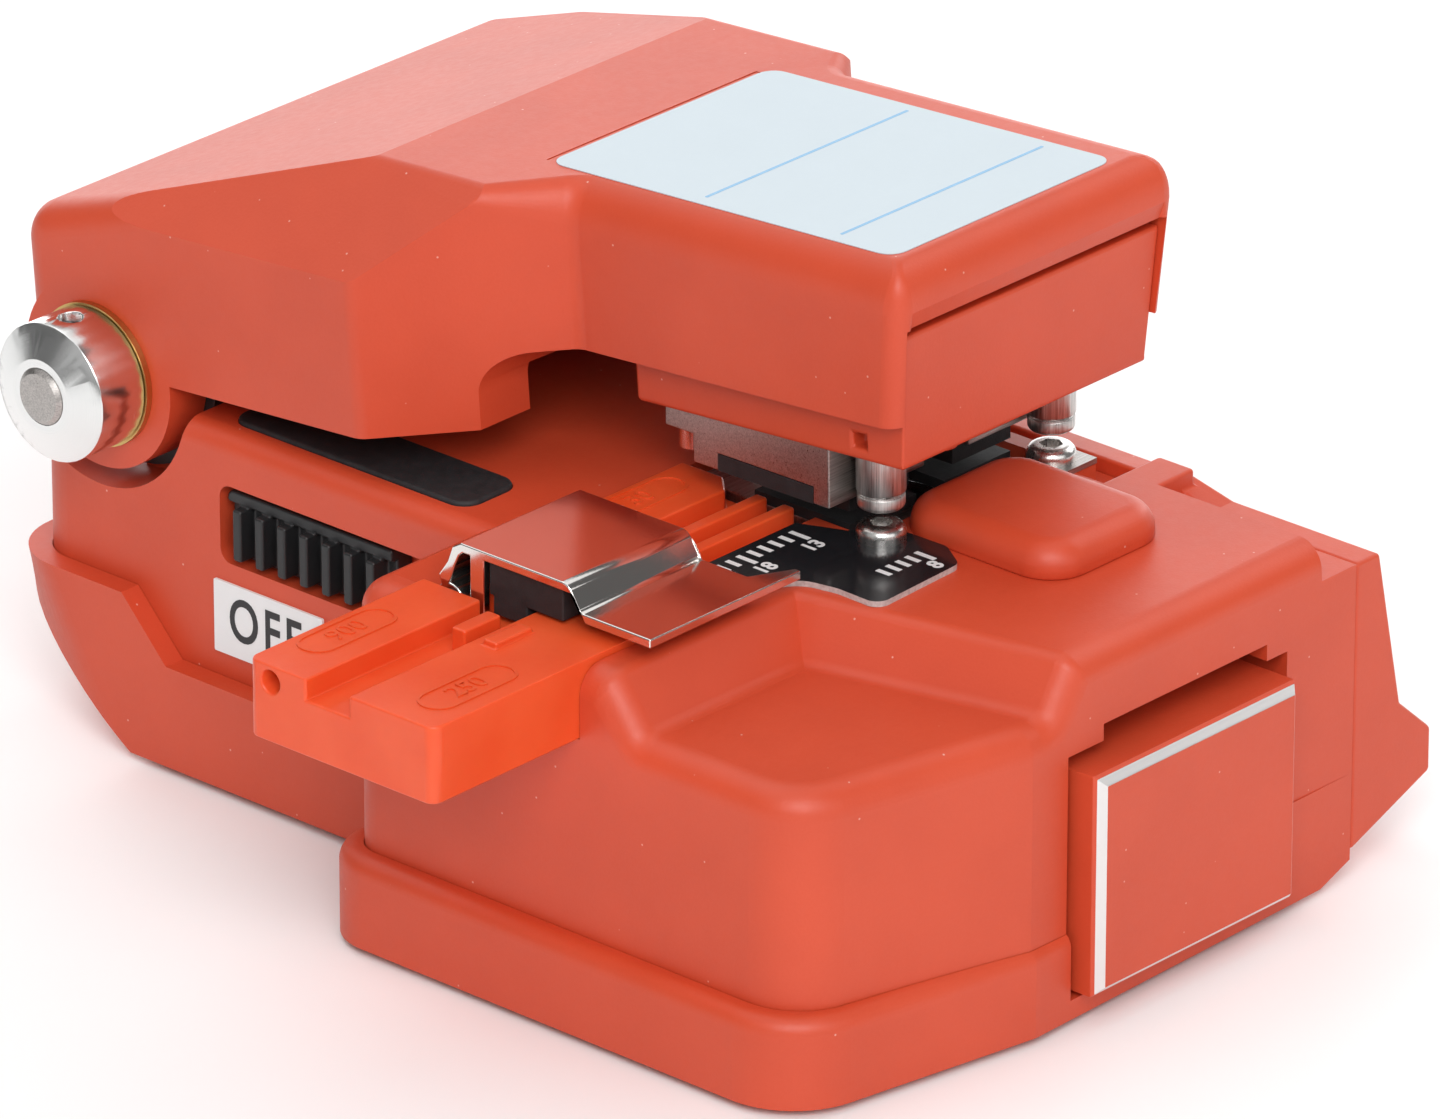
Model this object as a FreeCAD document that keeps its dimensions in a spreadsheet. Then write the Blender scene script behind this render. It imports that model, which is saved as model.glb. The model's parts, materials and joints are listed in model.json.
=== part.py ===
"""Bench-top optical fibre cleaver, built as an assembly of separate pieces.

Frame: millimetres, +Z up, ground at Z = 0. The fibre lies along X at Y = 0, the user stands on the -Y side
and the lid's hinge runs along X at the back. X = 0 is the middle plane of the lid.
The lid is drawn level and then tipped about its hinge to the angle at which it rests.
"""
import FreeCAD, Part
import math
import os
from types import SimpleNamespace

import Sketcher

Vector = FreeCAD.Vector
os.makedirs("parts", exist_ok=True)
doc = FreeCAD.newDocument("fibre_cleaver")


# Driving sizes: name, value and meaning.
SIZES = [
    # Whole tool
    ("deck_z", 26.0, "deck above the ground"),
    ("floor_z", 2.0, "top of the tray's floor"),
    ("sole_thick", 0.6, "rubber sole"),
    ("blade_x", 1.3, "plane of the blade, right of the lid's middle plane"),
    ("slip_fit", 0.05, "gap round seated pieces and running pins"),
    ("move_gap", 0.4, "gap beside pieces that move"),
    # Front block of the base
    ("block_left", 35.2, "left wall of the front block"),
    ("block_right", 15.6, "right wall of the front block"),
    ("block_front", 31.2, "front wall"),
    ("block_back", 12.5, "back of the front block"),
    ("front_taper", 4.4, "set-back of the left front corner"),
    ("taper_x", 17.0, "left end of the straight front"),
    ("corner_round", 5.0, "rounding of the left front corner"),
    ("terrace_drop", 3.7, "lower deck on the left below the deck"),
    ("terrace_y", 10.4, "top edge of the slope beside the adapter"),
    ("terrace_x", 16.8, "left end of the deck at that edge"),
    ("terrace_lean", 4.6, "slant of the deck's left edge"),
    ("terrace_slope", 2.8, "run of the slope down to the lower deck"),
    ("back_round", 2.5, "rounding of the front block's left back corner"),
    ("edge_round", 2.0, "rounding of the outer top edges"),
    ("crease_round", 1.2, "rounding of the slopes' creases"),
    ("shell_wall", 2.4, "walls round the hollows under the deck"),
    ("shelf_x", 12.0, "left edge of the low shelf on the right"),
    ("shelf_drop", 2.7, "shelf below the deck"),
    # Rear block of the base
    ("rear_half", 23.7, "half width of the rear block and lid"),
    ("rear_back", 53.2, "back wall"),
    ("rear_round", 3.5, "rounding of the back corners"),
    ("keel_round", 8.0, "rounding of the body's lower back edge"),
    ("keel_rise", 9.0, "height of the tray's curved lower back edge"),
    ("keel_run", 6.3, "depth of that curve along the floor"),
    # Tray
    ("ledge", 1.7, "tray standing out beyond the body"),
    ("seam_z", 7.0, "top of the tray's rim"),
    ("seam_right_z", 8.1, "top of the rim on the right"),
    ("seam_back_z", 12.4, "top of the rim at the back"),
    ("seam_rise_y", 38.9, "where the rim starts to rise"),
    ("rim_round", 1.2, "rounding of the rim's outer edge"),
    ("rebate", 2.2, "body cut back behind the rim right of the slider"),
    ("sole_inset", 1.0, "sole inside the body's edge"),
    ("tray_screw_dia", 2.0, "thread of the tray screws"),
    ("tray_screw_head", 0.8, "height of their heads"),
    ("tray_screw_sunk", 0.1, "heads inside the tray's underside"),
    ("tray_screw_grip", 5.5, "thread above the tray's floor"),
    ("tray_screw_key", 1.3, "hex socket across flats"),
    # Slider
    ("recess_left", 13.5, "left wall of the slider recess"),
    ("recess_right", 8.6, "right wall of the slider recess"),
    ("recess_depth", 18.7, "depth of the recess from the front wall"),
    ("recess_top", 19.4, "roof of the recess and tunnel"),
    ("tunnel_half", 8.25, "half width of the tunnel"),
    ("tunnel_x", 1.75, "tunnel's middle, left of the lid's middle plane"),
    ("tunnel_end", 24.0, "back end of the tunnel"),
    ("cap_front", 33.5, "front face of the push cap"),
    ("cap_thick", 8.0, "thickness of the push cap"),
    ("cap_gap", 0.6, "gap left of the push cap"),
    ("cap_gap_right", 1.2, "gap right of the push cap"),
    ("cap_gap_top", 1.1, "gap above the push cap"),
    ("cap_bevel", 0.7, "bevel round the cap's face"),
    ("carriage_top", 11.0, "top of the blade carriage"),
    ("carriage_end", 10.0, "back end of the blade carriage"),
    ("rail_half", 2.5, "half width of the slide rail"),
    ("rail_high", 2.3, "height of the slide rail"),
    ("push_travel", 12.0, "travel of the slider"),
    # Blade
    ("blade_dia", 18.0, "cutting wheel"),
    ("blade_thick", 1.0, "cutting wheel"),
    ("blade_y", 6.0, "wheel's centre in front of the fibre at rest"),
    ("blade_over", 0.2, "top of the wheel above the deck"),
    ("axle_dia", 4.0, "axle of the wheel"),
    ("axle_long", 4.0, "axle left of the wheel"),
    ("axle_head", 1.2, "head of the axle"),
    ("hub_out", 0.6, "wheel's hub beside the wheel"),
    ("hub_play", 0.1, "room beside the hub"),
    ("slot_half", 1.2, "half width of the blade slot"),
    # Deck pieces
    ("jaw_drop", 3.0, "floor of the jaw recess below the deck"),
    ("jaw_high", 2.4, "height of a lower jaw"),
    ("jaw_long", 6.9, "lower jaw along the fibre"),
    ("fibre_rise", 0.2, "fibre above the deck"),
    ("cover_front", 22.8, "front of the blade cover"),
    ("cover_back", 8.6, "back of the blade cover"),
    ("cover_half", 6.0, "half width of the blade cover"),
    ("cover_high", 2.4, "height of the blade cover"),
    ("plate_thick", 0.4, "scale plate and shim"),
    ("stop_spread", 8.55, "stop screws on each side of the blade"),
    ("stop_y", 9.5, "stop screws in front of the fibre"),
    ("stop_dia", 3.4, "head of a stop screw"),
    ("stop_head", 1.1, "height of that head"),
    ("stop_thread", 2.0, "thread of a stop screw"),
    ("stop_grip", 4.0, "thread below the deck"),
    ("stop_key", 1.4, "hex socket across flats"),
    ("strip_left", 21.9, "left edge of the deck strip"),
    ("strip_wide", 5.5, "width of the deck strip"),
    ("strip_front", 14.2, "front end of the deck strip"),
    ("strip_long", 21.8, "length of the deck strip"),
    ("strip_sunk", 0.9, "strip let into the deck"),
    ("strip_over", 0.3, "strip above the deck"),
    ("strip_soft", 0.25, "rounding of the strip's top edge"),
    ("strip_round", 1.5, "rounding of the strip's corners"),
    # Scrap collector
    ("bin_out", 8.3, "collector standing out from the front block"),
    ("bin_wall", 1.2, "wall of the collector"),
    ("slot_front", 16.6, "front of the collector's notch in the deck"),
    ("slot_back", 11.6, "back of that notch"),
    ("slot_deep", 2.2, "notch from the deck's right edge"),
    ("tab_drop", 0.7, "collector's tab below the deck"),
    # Fibre adapter
    ("adapter_left", 48.9, "outer end of the adapter"),
    ("adapter_right", 7.2, "inner end of the adapter"),
    ("adapter_half", 8.2, "half width of the adapter"),
    ("adapter_high", 5.5, "thickness of the adapter"),
    ("adapter_over", 0.5, "adapter above the deck"),
    ("notch_x", 19.3, "left side of the cut-out for the scale"),
    ("notch_y", 3.6, "front of the rails beside the scale"),
    ("groove_deep", 1.5, "fibre groove"),
    ("groove_back", 3.0, "back side of the groove"),
    ("groove_front", 0.8, "front side of the groove"),
    ("rail_wall", 1.0, "thickness of a fibre rail"),
    ("guide_left", 37.4, "left end of the fibre guides"),
    ("guide_long", 3.5, "length of the fibre guides"),
    ("guide_wall", 1.2, "thickness of a fibre guide"),
    ("guide_gap", 1.6, "gap between the fibre guides"),
    ("guide_rise", 0.45, "fibre guides above the adapter"),
    ("magnet_dia", 4.0, "magnet under the leaf"),
    ("magnet_deep", 1.6, "magnet's seat"),
    ("magnet_y", 5.6, "magnet in front of the fibre"),
    # Clamp leaf
    ("leaf_left", 32.0, "left side of the clamp leaf"),
    ("leaf_wide", 11.6, "width of the clamp leaf"),
    ("leaf_flare", 3.0, "finger tab standing out on the right"),
    ("leaf_front", 11.5, "front edge of the finger tab"),
    ("leaf_sheet", 0.65, "sheet thickness"),
    ("leaf_rise", 3.25, "top of the raised leaf above the adapter"),
    ("leaf_tab_rise", 1.5, "top of the finger tab above the adapter"),
    ("leaf_bend", 4.3, "front bend of the raised leaf in front of the fibre"),
    ("leaf_lip", 1.0, "lip behind the pin"),
    ("ear_front", 3.15, "front edge of the ear behind the fibre"),
    ("ear_wide", 1.25, "width of the ear"),
    ("leaf_pin_dia", 1.5, "pin of the leaf"),
    ("leaf_pin_y", 6.2, "pin behind the fibre"),
    ("leaf_pin_drop", 1.2, "pin below the adapter's top"),
    ("knuckle_dia", 2.6, "rolled knuckle"),
    # Hinge
    ("hinge_y", 46.5, "lid's axis"),
    ("hinge_rise", 1.05, "lid's axis above the deck"),
    ("shaft_dia", 4.0, "hinge shaft"),
    ("barrel_dia", 8.4, "hinge barrel of the base"),
    ("lug_thick", 3.5, "lid's side wall at the hinge"),
    ("lug_radius", 6.8, "lid's lug"),
    ("lug_gap", 1.4, "room round the lug"),
    ("spacer_thick", 0.9, "black side disc beside the lug"),
    ("spacer_radius", 7.6, "black side disc"),
    ("washer_thick", 0.45, "brass washer"),
    ("collar_dia", 9.9, "shaft collar"),
    ("collar_long", 4.0, "straight part of the collar"),
    ("collar_cone", 0.9, "cone face of the collar"),
    ("collar_taper", 2.3, "fall of the cone face"),
    ("set_screw_dia", 1.8, "set screw of the collar"),
    ("set_screw_long", 2.2, "set screw of the collar"),
    # Lid
    ("lid_pitch", 4.5, "degrees, lid's box above level at rest"),
    ("lid_ajar", 0.8, "degrees, lid's rest above its closed place"),
    ("cheek_rise", 0.4, "lower edge of the lid above its axis"),
    ("lid_wall_top", 11.45, "top of the side wall above the axis"),
    ("lid_roof", 17.45, "roof above the axis"),
    ("lid_shoulder", 7.2, "width of the shoulder slope"),
    ("lid_crease", 25.8, "where the roof starts to fall"),
    ("lid_fall", 7.0, "fall of the roof to the back"),
    ("lid_round", 1.4, "rounding of the lid's edges"),
    ("lid_back_round", 2.8, "rounding of the lid's back edges"),
    ("box_half", 12.9, "half width of the front box"),
    ("box_front", 15.8, "front of the box"),
    ("box_back", 11.6, "where the box meets the slanted wall"),
    ("slant_back", 22.0, "where the slanted wall meets the side"),
    ("box_rise", 5.6, "lower edge of the front box above the axis"),
    ("arch_y", 16.4, "back of the arch under the box"),
    ("arch_round", 2.6, "rounding of the arch"),
    ("cavity_rise", 8.5, "hollow of the lid above the axis"),
    ("box_wall", 1.0, "side wall of the front box"),
    ("block_rise", 3.1, "clamp block's underside above the axis"),
    ("block_top", 12.2, "clamp block's top above the axis"),
    ("label_half", 10.4, "half width of the label"),
    ("label_front", 13.6, "front edge of the label"),
    ("label_back", 16.0, "back edge of the label"),
    ("label_deep", 0.5, "label's recess"),
    # Upper clamps
    ("clamp_gap", 1.9, "upper clamp above the fibre when closed"),
    ("clamp_long", 9.5, "upper clamp along the fibre"),
    ("clamp_inset", 2.2, "upper clamp's edge beside the blade plane"),
    ("clamp_back", 6.8, "back of the upper clamps"),
    ("pad_front", 6.3, "front of the rubber pads"),
    ("pad_back", 2.1, "back of the rubber pads"),
    ("pad_gap", 0.15, "pad above the fibre when closed"),
    ("pad_sunk", 1.2, "pad let into the upper clamp"),
    ("post_dia", 3.35, "stop post"),
    ("post_gap", 0.35, "post above its screw when closed"),
    ("post_foot", 1.0, "polished foot of the post"),
    ("seat_gap", 0.02, "face that bears on the clamp block"),
    # Lock
    ("lock_low", 16.6, "lower edge of the lock recess"),
    ("lock_high", 22.3, "upper edge of the lock recess"),
    ("lock_front", 13.0, "front end of the lock recess"),
    ("lock_back", 35.2, "back end of the lock recess"),
    ("lock_deep", 2.5, "depth of the lock recess"),
    ("lock_long", 15.2, "length of the lock slide"),
    ("lock_rib", 0.8, "width of a rib on the lock slide"),
    ("lock_step", 2.05, "spacing of the ribs"),
    ("lock_margin", 1.2, "first rib from the slide's end"),
    ("lock_thick", 1.5, "plate of the lock slide"),
    ("lock_lip", 0.9, "height of the lock slide's upper lip"),
    ("lock_round", 1.0, "rounding of the lock recess's corners"),
]

sheet = doc.addObject("Spreadsheet::Sheet", "sizes")
for row, (alias, value, meaning) in enumerate(SIZES, start=1):
    sheet.set("A%d" % row, alias)
    sheet.set("B%d" % row, str(value))
    sheet.set("C%d" % row, meaning)
    sheet.setAlias("B%d" % row, alias)
doc.recompute()


class Size:
    """A length that carries its sheet expression beside its value."""

    def __init__(self, text, value):
        self.text = text
        self.value = value

    def __add__(self, other):
        other = as_size(other)
        return Size("(%s + %s)" % (self.text, other.text), self.value + other.value)

    def __sub__(self, other):
        other = as_size(other)
        return Size("(%s - %s)" % (self.text, other.text), self.value - other.value)

    def __mul__(self, other):
        other = as_size(other)
        return Size("(%s * %s)" % (self.text, other.text), self.value * other.value)

    def __truediv__(self, other):
        other = as_size(other)
        return Size("(%s / %s)" % (self.text, other.text), self.value / other.value)

    def __radd__(self, other):
        return as_size(other) + self

    def __rsub__(self, other):
        return as_size(other) - self

    def __rmul__(self, other):
        return as_size(other) * self

    def __neg__(self):
        return Size("(0 - %s)" % self.text, -self.value)


def as_size(number):
    if isinstance(number, Size):
        return number
    return Size("(%.6f)" % number, float(number))


def sine(degrees):
    return Size("sin(%s * 1 deg)" % degrees.text, math.sin(math.radians(degrees.value)))


def cosine(degrees):
    return Size("cos(%s * 1 deg)" % degrees.text, math.cos(math.radians(degrees.value)))


def tangent(degrees):
    return Size("tan(%s * 1 deg)" % degrees.text, math.tan(math.radians(degrees.value)))


s = SimpleNamespace(**{name: Size("sizes." + name, sheet.get(name)) for name, value, meaning in SIZES})
nodes = []


def node(piece):
    """Marks a finished piece to be written out."""
    nodes.append(piece)
    return piece


def bind(thing, path, size):
    thing.setExpression(path, as_size(size).text)


def new_body(label):
    body = doc.addObject("PartDesign::Body", label)
    body.Label = label
    return body


def rect(left, right, low, high):
    return [(left, low), (right, low), (right, high), (left, high)]


def disc(across, up, diameter):
    return SimpleNamespace(across=as_size(across), up=as_size(up), diameter=as_size(diameter))


def scoop(across, up, run, rise):
    """A lower corner to cut off along an arc that leaves the upright wall smoothly and meets the floor."""
    return SimpleNamespace(across=across, up=up, run=run, rise=rise)


def hexagon(across, up, flats):
    """Corners of a hex socket of the given width across flats."""
    reach = as_size(flats) / math.sqrt(3)
    turns = [math.radians(60 * k) for k in range(6)]
    return [(across + reach * math.cos(turn), up + reach * math.sin(turn)) for turn in turns]


def fix(drawing, kind, axis, point, size):
    """Ties one coordinate of a sketch point to its size."""
    if abs(size.value) < 1e-9:
        drawing.addConstraint(Sketcher.Constraint("PointOnObject", point[0], point[1], axis))
        return
    index = drawing.addConstraint(Sketcher.Constraint(kind, -1, 1, point[0], point[1], size.value))
    drawing.setExpression("Constraints[%d]" % index, size.text)


def draw_polygon(drawing, corners):
    corners = [(as_size(u), as_size(v)) for u, v in corners]
    flat = [Vector(u.value, v.value, 0) for u, v in corners]
    lines = []
    for k, start in enumerate(flat):
        lines.append(drawing.addGeometry(Part.LineSegment(start, flat[(k + 1) % len(flat)]), False))
    for k, line in enumerate(lines):
        drawing.addConstraint(Sketcher.Constraint("Coincident", line, 2, lines[(k + 1) % len(lines)], 1))
    for line, (u, v) in zip(lines, corners):
        fix(drawing, "DistanceX", -2, (line, 1), u)
        fix(drawing, "DistanceY", -1, (line, 1), v)


def draw_disc(drawing, spot):
    centre = Vector(spot.across.value, spot.up.value, 0)
    ring = drawing.addGeometry(Part.Circle(centre, Vector(0, 0, 1), spot.diameter.value / 2), False)
    index = drawing.addConstraint(Sketcher.Constraint("Diameter", ring, spot.diameter.value))
    drawing.setExpression("Constraints[%d]" % index, spot.diameter.text)
    fix(drawing, "DistanceX", -2, (ring, 3), spot.across)
    fix(drawing, "DistanceY", -1, (ring, 3), spot.up)


def draw_scoop(drawing, cut):
    run = cut.run.value
    rise = cut.rise.value
    radius = (run ** 2 + rise ** 2) / (2 * run)
    centre = Vector(cut.across.value - radius, cut.up.value + rise, 0)
    circle = Part.Circle(centre, Vector(0, 0, 1), radius)
    arc = drawing.addGeometry(Part.ArcOfCircle(circle, -math.atan2(rise, radius - run), 0), False)
    corners = [(cut.across, cut.up + cut.rise), (cut.across + 1, cut.up + cut.rise),
               (cut.across + 1, cut.up - 1), (cut.across - cut.run, cut.up - 1),
               (cut.across - cut.run, cut.up)]
    flat = [Vector(u.value, v.value, 0) for u, v in corners]
    lines = [drawing.addGeometry(Part.LineSegment(a, b), False) for a, b in zip(flat, flat[1:])]
    drawing.addConstraint(Sketcher.Constraint("Coincident", arc, 2, lines[0], 1))
    for line, following in zip(lines, lines[1:]):
        drawing.addConstraint(Sketcher.Constraint("Coincident", line, 2, following, 1))
    drawing.addConstraint(Sketcher.Constraint("Coincident", lines[-1], 2, arc, 1))
    for point, (u, v) in zip([(line, 1) for line in lines] + [(lines[-1], 2)], corners):
        fix(drawing, "DistanceX", -2, point, u)
        fix(drawing, "DistanceY", -1, point, v)
    fix(drawing, "DistanceY", -1, (arc, 3), cut.up + cut.rise)


def sketch(body, plane, level, loops):
    """A sketch on one of the body's own planes, moved along X, Y or Z to the given level."""
    drawing = body.newObject("Sketcher::SketchObject", body.Name + "_sketch")
    origin_plane = [f for f in body.Origin.OriginFeatures if f.Role == plane + "_Plane"][0]
    drawing.AttachmentSupport = [(origin_plane, "")]
    drawing.MapMode = "FlatFace"
    offset = -as_size(level) if plane == "XZ" else as_size(level)
    drawing.AttachmentOffset = FreeCAD.Placement(Vector(0, 0, offset.value), FreeCAD.Rotation())
    bind(drawing, "AttachmentOffset.Base.z", offset)
    for loop in loops:
        if isinstance(loop, list):
            draw_polygon(drawing, loop)
        elif hasattr(loop, "diameter"):
            draw_disc(drawing, loop)
        else:
            draw_scoop(drawing, loop)
    return drawing


def pad(body, plane, low, high, *loops):
    """Adds material between two levels."""
    start = high if plane == "XZ" else low
    drawing = sketch(body, plane, start, loops)
    step = body.newObject("PartDesign::Pad", body.Name + "_pad")
    step.Profile = drawing
    length = as_size(high) - as_size(low)
    step.Length = length.value
    bind(step, "Length", length)
    return step


def pocket(body, plane, low, high, *loops):
    """Removes material between two levels and checks that something went."""
    doc.recompute()
    before = body.Shape.Volume
    start = low if plane == "XZ" else high
    drawing = sketch(body, plane, start, loops)
    step = body.newObject("PartDesign::Pocket", body.Name + "_pocket")
    step.Profile = drawing
    length = as_size(high) - as_size(low)
    step.Length = length.value
    bind(step, "Length", length)
    doc.recompute()
    if body.Shape.Volume > before - 1e-6:
        raise RuntimeError("%s removed nothing" % step.Name)
    return step


def loft_cut(body, low, low_corners, high, high_corners):
    """Removes a ruled block between two level outlines."""
    below = sketch(body, "XY", low, [low_corners])
    above = sketch(body, "XY", high, [high_corners])
    step = body.newObject("PartDesign::SubtractiveLoft", body.Name + "_slope")
    step.Profile = below
    step.Sections = [(above, [""])]
    step.Ruled = True
    return step


def on(x=None, y=None, z=None, also=None):
    """A test for edges whose points all have the given coordinates."""
    wanted = [None if c is None else as_size(c).value for c in (x, y, z)]

    def test(edge):
        middle = edge.valueAt((edge.FirstParameter + edge.LastParameter) / 2)
        for point in [vertex.Point for vertex in edge.Vertexes] + [middle]:
            for value, goal in zip(point, wanted):
                if goal is not None and abs(value - goal) > 0.01:
                    return False
        return also is None or also(middle)

    return test


def dress(body, kind, prop, size, tests):
    doc.recompute()
    base = body.Tip
    edges = [edge for edge in enumerate(base.Shape.Edges, start=1) if any(t(edge[1]) for t in tests)]
    if not edges:
        raise RuntimeError("no edge found on %s" % body.Label)
    step = body.newObject("PartDesign::" + kind, body.Name + "_" + kind.lower())
    step.Base = (base, ["Edge%d" % number for number, edge in edges])
    setattr(step, prop, as_size(size).value)
    bind(step, prop, size)
    doc.recompute()
    if not step.isValid():
        raise RuntimeError("%s failed on %s" % (kind, body.Label))
    return step


def round_edges(body, radius, *tests):
    return dress(body, "Fillet", "Radius", radius, tests)


def bevel_edges(body, size, *tests):
    return dress(body, "Chamfer", "Size", size, tests)


def turned(label, outline):
    """A piece turned about X; the outline is given as places along X and radii."""
    body = new_body(label)
    profile = sketch(body, "XZ", 0, [outline])
    step = body.newObject("PartDesign::Revolution", label + "_turning")
    step.Profile = profile
    step.ReferenceAxis = (profile, ["H_Axis"])
    step.Angle = 360
    return body


def place(thing, x, y, z):
    for path, size in zip(("x", "y", "z"), (x, y, z)):
        bind(thing, "Placement.Base." + path, size)


def tip(thing, angle):
    """Turns a level piece about the lid's axis so that its front end rises."""
    thing.Placement = FreeCAD.Placement(Vector(0, 0, 0), FreeCAD.Rotation(Vector(1, 0, 0), -angle.value))
    thing.setExpression("Placement.Rotation.Angle", "(0 - %s) * 1 deg" % angle.text)
    bind(thing, "Placement.Base.y", s.hinge_y - s.hinge_y * cosine(angle) - hinge_z * sine(angle))
    bind(thing, "Placement.Base.z", hinge_z + s.hinge_y * sine(angle) - hinge_z * cosine(angle))


def group(label, pieces):
    cluster = doc.addObject("Part::Compound", label)
    cluster.Label = label
    cluster.Links = pieces
    return cluster


# Levels and places that several pieces share.
hinge_z = s.deck_z + s.hinge_rise
fibre_z = s.deck_z + s.fibre_rise
adapter_top = s.deck_z + s.adapter_over
adapter_low = adapter_top - s.adapter_high
tray_low = s.sole_thick
corner_y = s.block_front - s.front_taper
terrace_z = s.deck_z - s.terrace_drop
shelf_z = s.deck_z - s.shelf_drop
jaw_floor = s.deck_z - s.jaw_drop
pocket_radius = s.lug_radius + s.lug_gap
barrel_half = s.rear_half - s.lug_thick - s.spacer_thick - 2 * s.slip_fit
blade_z = s.deck_z + s.blade_over - s.blade_dia / 2
tunnel_top = blade_z + s.axle_dia * 0.75 + s.move_gap
clamp_low = fibre_z + s.clamp_gap
clamp_tilt = s.lid_pitch - s.lid_ajar
clamp_front = s.stop_y - s.post_dia / 2 - 2 * s.slip_fit
pin_z = adapter_top - s.leaf_pin_drop
leaf_right = s.leaf_left - s.leaf_wide
rebate_y = s.block_front - s.rebate
far = 80


def block_under(y):
    """Height, with the lid at its closed place, of the clamp block's underside above a given Y."""
    return hinge_z + (s.hinge_y - y) * tangent(clamp_tilt) + s.block_rise / cosine(clamp_tilt) - s.seat_gap


def terrace_outline(inset):
    """Outline of the lower deck, drawn in from the edge of the deck by the run of the slope."""
    back = -s.terrace_y - inset
    right = -s.terrace_x - inset * 0.8
    front = -s.block_front - 1
    left = -s.block_left - 1
    return [(left, back), (right, back), (right + s.terrace_lean, front), (left, front)]


def on_crease(inset):
    """A test for points on the back or right line of the lower deck's outline."""
    (left, back), (right, back), (end, front), last = [
        (as_size(x).value, as_size(y).value) for x, y in terrace_outline(inset)]

    def test(spot):
        share = (back - spot.y) / (back - front)
        return abs(spot.y - back) < 0.01 or abs(spot.x - right - (end - right) * share) < 0.01

    return test


def on_outer_wall(spot):
    """Whether a point of the terrace lies at the body's outer wall."""
    left_end = spot.x < -s.block_left.value + 0.6 * s.corner_round.value
    return left_end or spot.y < -corner_y.value + 0.3


def on_front_rim(spot):
    """Whether a point of the outer wall lies on the rim of the deck or of its slope."""
    return spot.z > terrace_z.value + 0.3 and spot.x < s.shelf_x.value


def strip_corners(inset):
    """Tests for the upright corners of the deck strip or of its recess."""
    across = (-s.strip_left + inset, -s.strip_left + s.strip_wide - inset)
    along = (s.strip_front + inset, s.strip_front + s.strip_long - inset)
    return [on(x=x, y=y) for x in across for y in along]


# Base body
base = new_body("base_body")
pad(base, "XY", s.floor_z, s.deck_z, [
    (-s.block_left, s.block_back), (-s.block_left, -corner_y), (-s.taper_x, -s.block_front),
    (s.block_right, -s.block_front), (s.block_right, s.block_back), (s.rear_half, s.block_back),
    (s.rear_half, s.rear_back), (-s.rear_half, s.rear_back), (-s.rear_half, s.block_back)])
round_edges(base, s.keel_round, on(y=s.rear_back, z=s.floor_z))
round_edges(base, s.rear_round, on(x=-s.rear_half, y=s.rear_back), on(x=s.rear_half, y=s.rear_back))
round_edges(base, s.corner_round, on(x=-s.block_left, y=-corner_y))
round_edges(base, s.back_round, on(x=-s.block_left, y=s.block_back))
loft_cut(base, terrace_z, terrace_outline(s.terrace_slope), s.deck_z, terrace_outline(0))
pocket(base, "XY", shelf_z, s.deck_z + 1,
       rect(s.shelf_x, s.block_right + 1, -s.block_front - 1, s.block_back))
round_edges(base, s.crease_round, on(z=terrace_z, also=on_crease(s.terrace_slope)))
round_edges(base, s.edge_round, on(z=terrace_z, also=on_outer_wall), on(y=-s.block_front, also=on_front_rim),
            on(x=-s.block_left, also=on_front_rim))
round_edges(base, s.crease_round, on(z=s.deck_z, also=on_crease(0)))
round_edges(base, s.edge_round * 0.75, on(x=-s.rear_half, z=s.deck_z), on(x=s.rear_half, z=s.deck_z))
pocket(base, "XY", adapter_low, s.deck_z + 1, [
    (-s.block_left - 1, -s.adapter_half - s.slip_fit),
    (-s.notch_x + s.slip_fit, -s.adapter_half - s.slip_fit),
    (-s.notch_x + s.slip_fit, -s.notch_y - s.slip_fit),
    (-s.adapter_right + s.slip_fit, -s.notch_y - s.slip_fit),
    (-s.adapter_right + s.slip_fit, s.adapter_half + s.slip_fit),
    (-s.block_left - 1, s.adapter_half + s.slip_fit)])
pocket(base, "YZ", -s.leaf_left - s.move_gap, -leaf_right + s.move_gap, [
    (s.adapter_half - 1, s.deck_z + 1), (s.adapter_half - 1, pin_z - s.knuckle_dia / 2),
    (s.adapter_half + s.knuckle_dia * 0.3, pin_z - s.knuckle_dia / 2),
    (s.leaf_pin_y + s.leaf_pin_drop + s.leaf_rise + s.move_gap, s.deck_z + 0.01),
    (s.leaf_pin_y + s.leaf_pin_drop + s.leaf_rise + s.move_gap, s.deck_z + 1)])
pocket(base, "XY", jaw_floor, s.deck_z + 1,
       rect(-s.adapter_right, s.blade_x + s.slot_half + s.jaw_long + 1.2, -s.adapter_half, s.adapter_half))
pocket(base, "XY", s.floor_z - 1, s.recess_top,
       rect(-s.recess_left, s.recess_right, -s.block_front - 1, -s.block_front + s.recess_depth))
pocket(base, "XY", s.floor_z - 1, tunnel_top,
       rect(-s.tunnel_x - s.tunnel_half, -s.tunnel_x + s.tunnel_half, -s.block_front, s.tunnel_end))
pocket(base, "XY", s.recess_top - 1, s.deck_z + 1,
       rect(s.blade_x - s.slot_half, s.blade_x + s.slot_half,
            -s.blade_y - s.blade_dia / 2 - 0.5, -s.blade_y + s.blade_dia / 2 + s.push_travel + 0.5))
pocket(base, "XY", s.floor_z - 1, s.seam_right_z,
       rect(s.recess_right - 0.1, s.block_right + 1, -s.block_front - 1, -rebate_y))
pocket(base, "XY", s.floor_z - 1, terrace_z - s.shell_wall,
       rect(-s.block_left + s.shell_wall, -s.recess_left - s.shell_wall, -s.stop_y - 5.5, 1.5))
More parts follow.
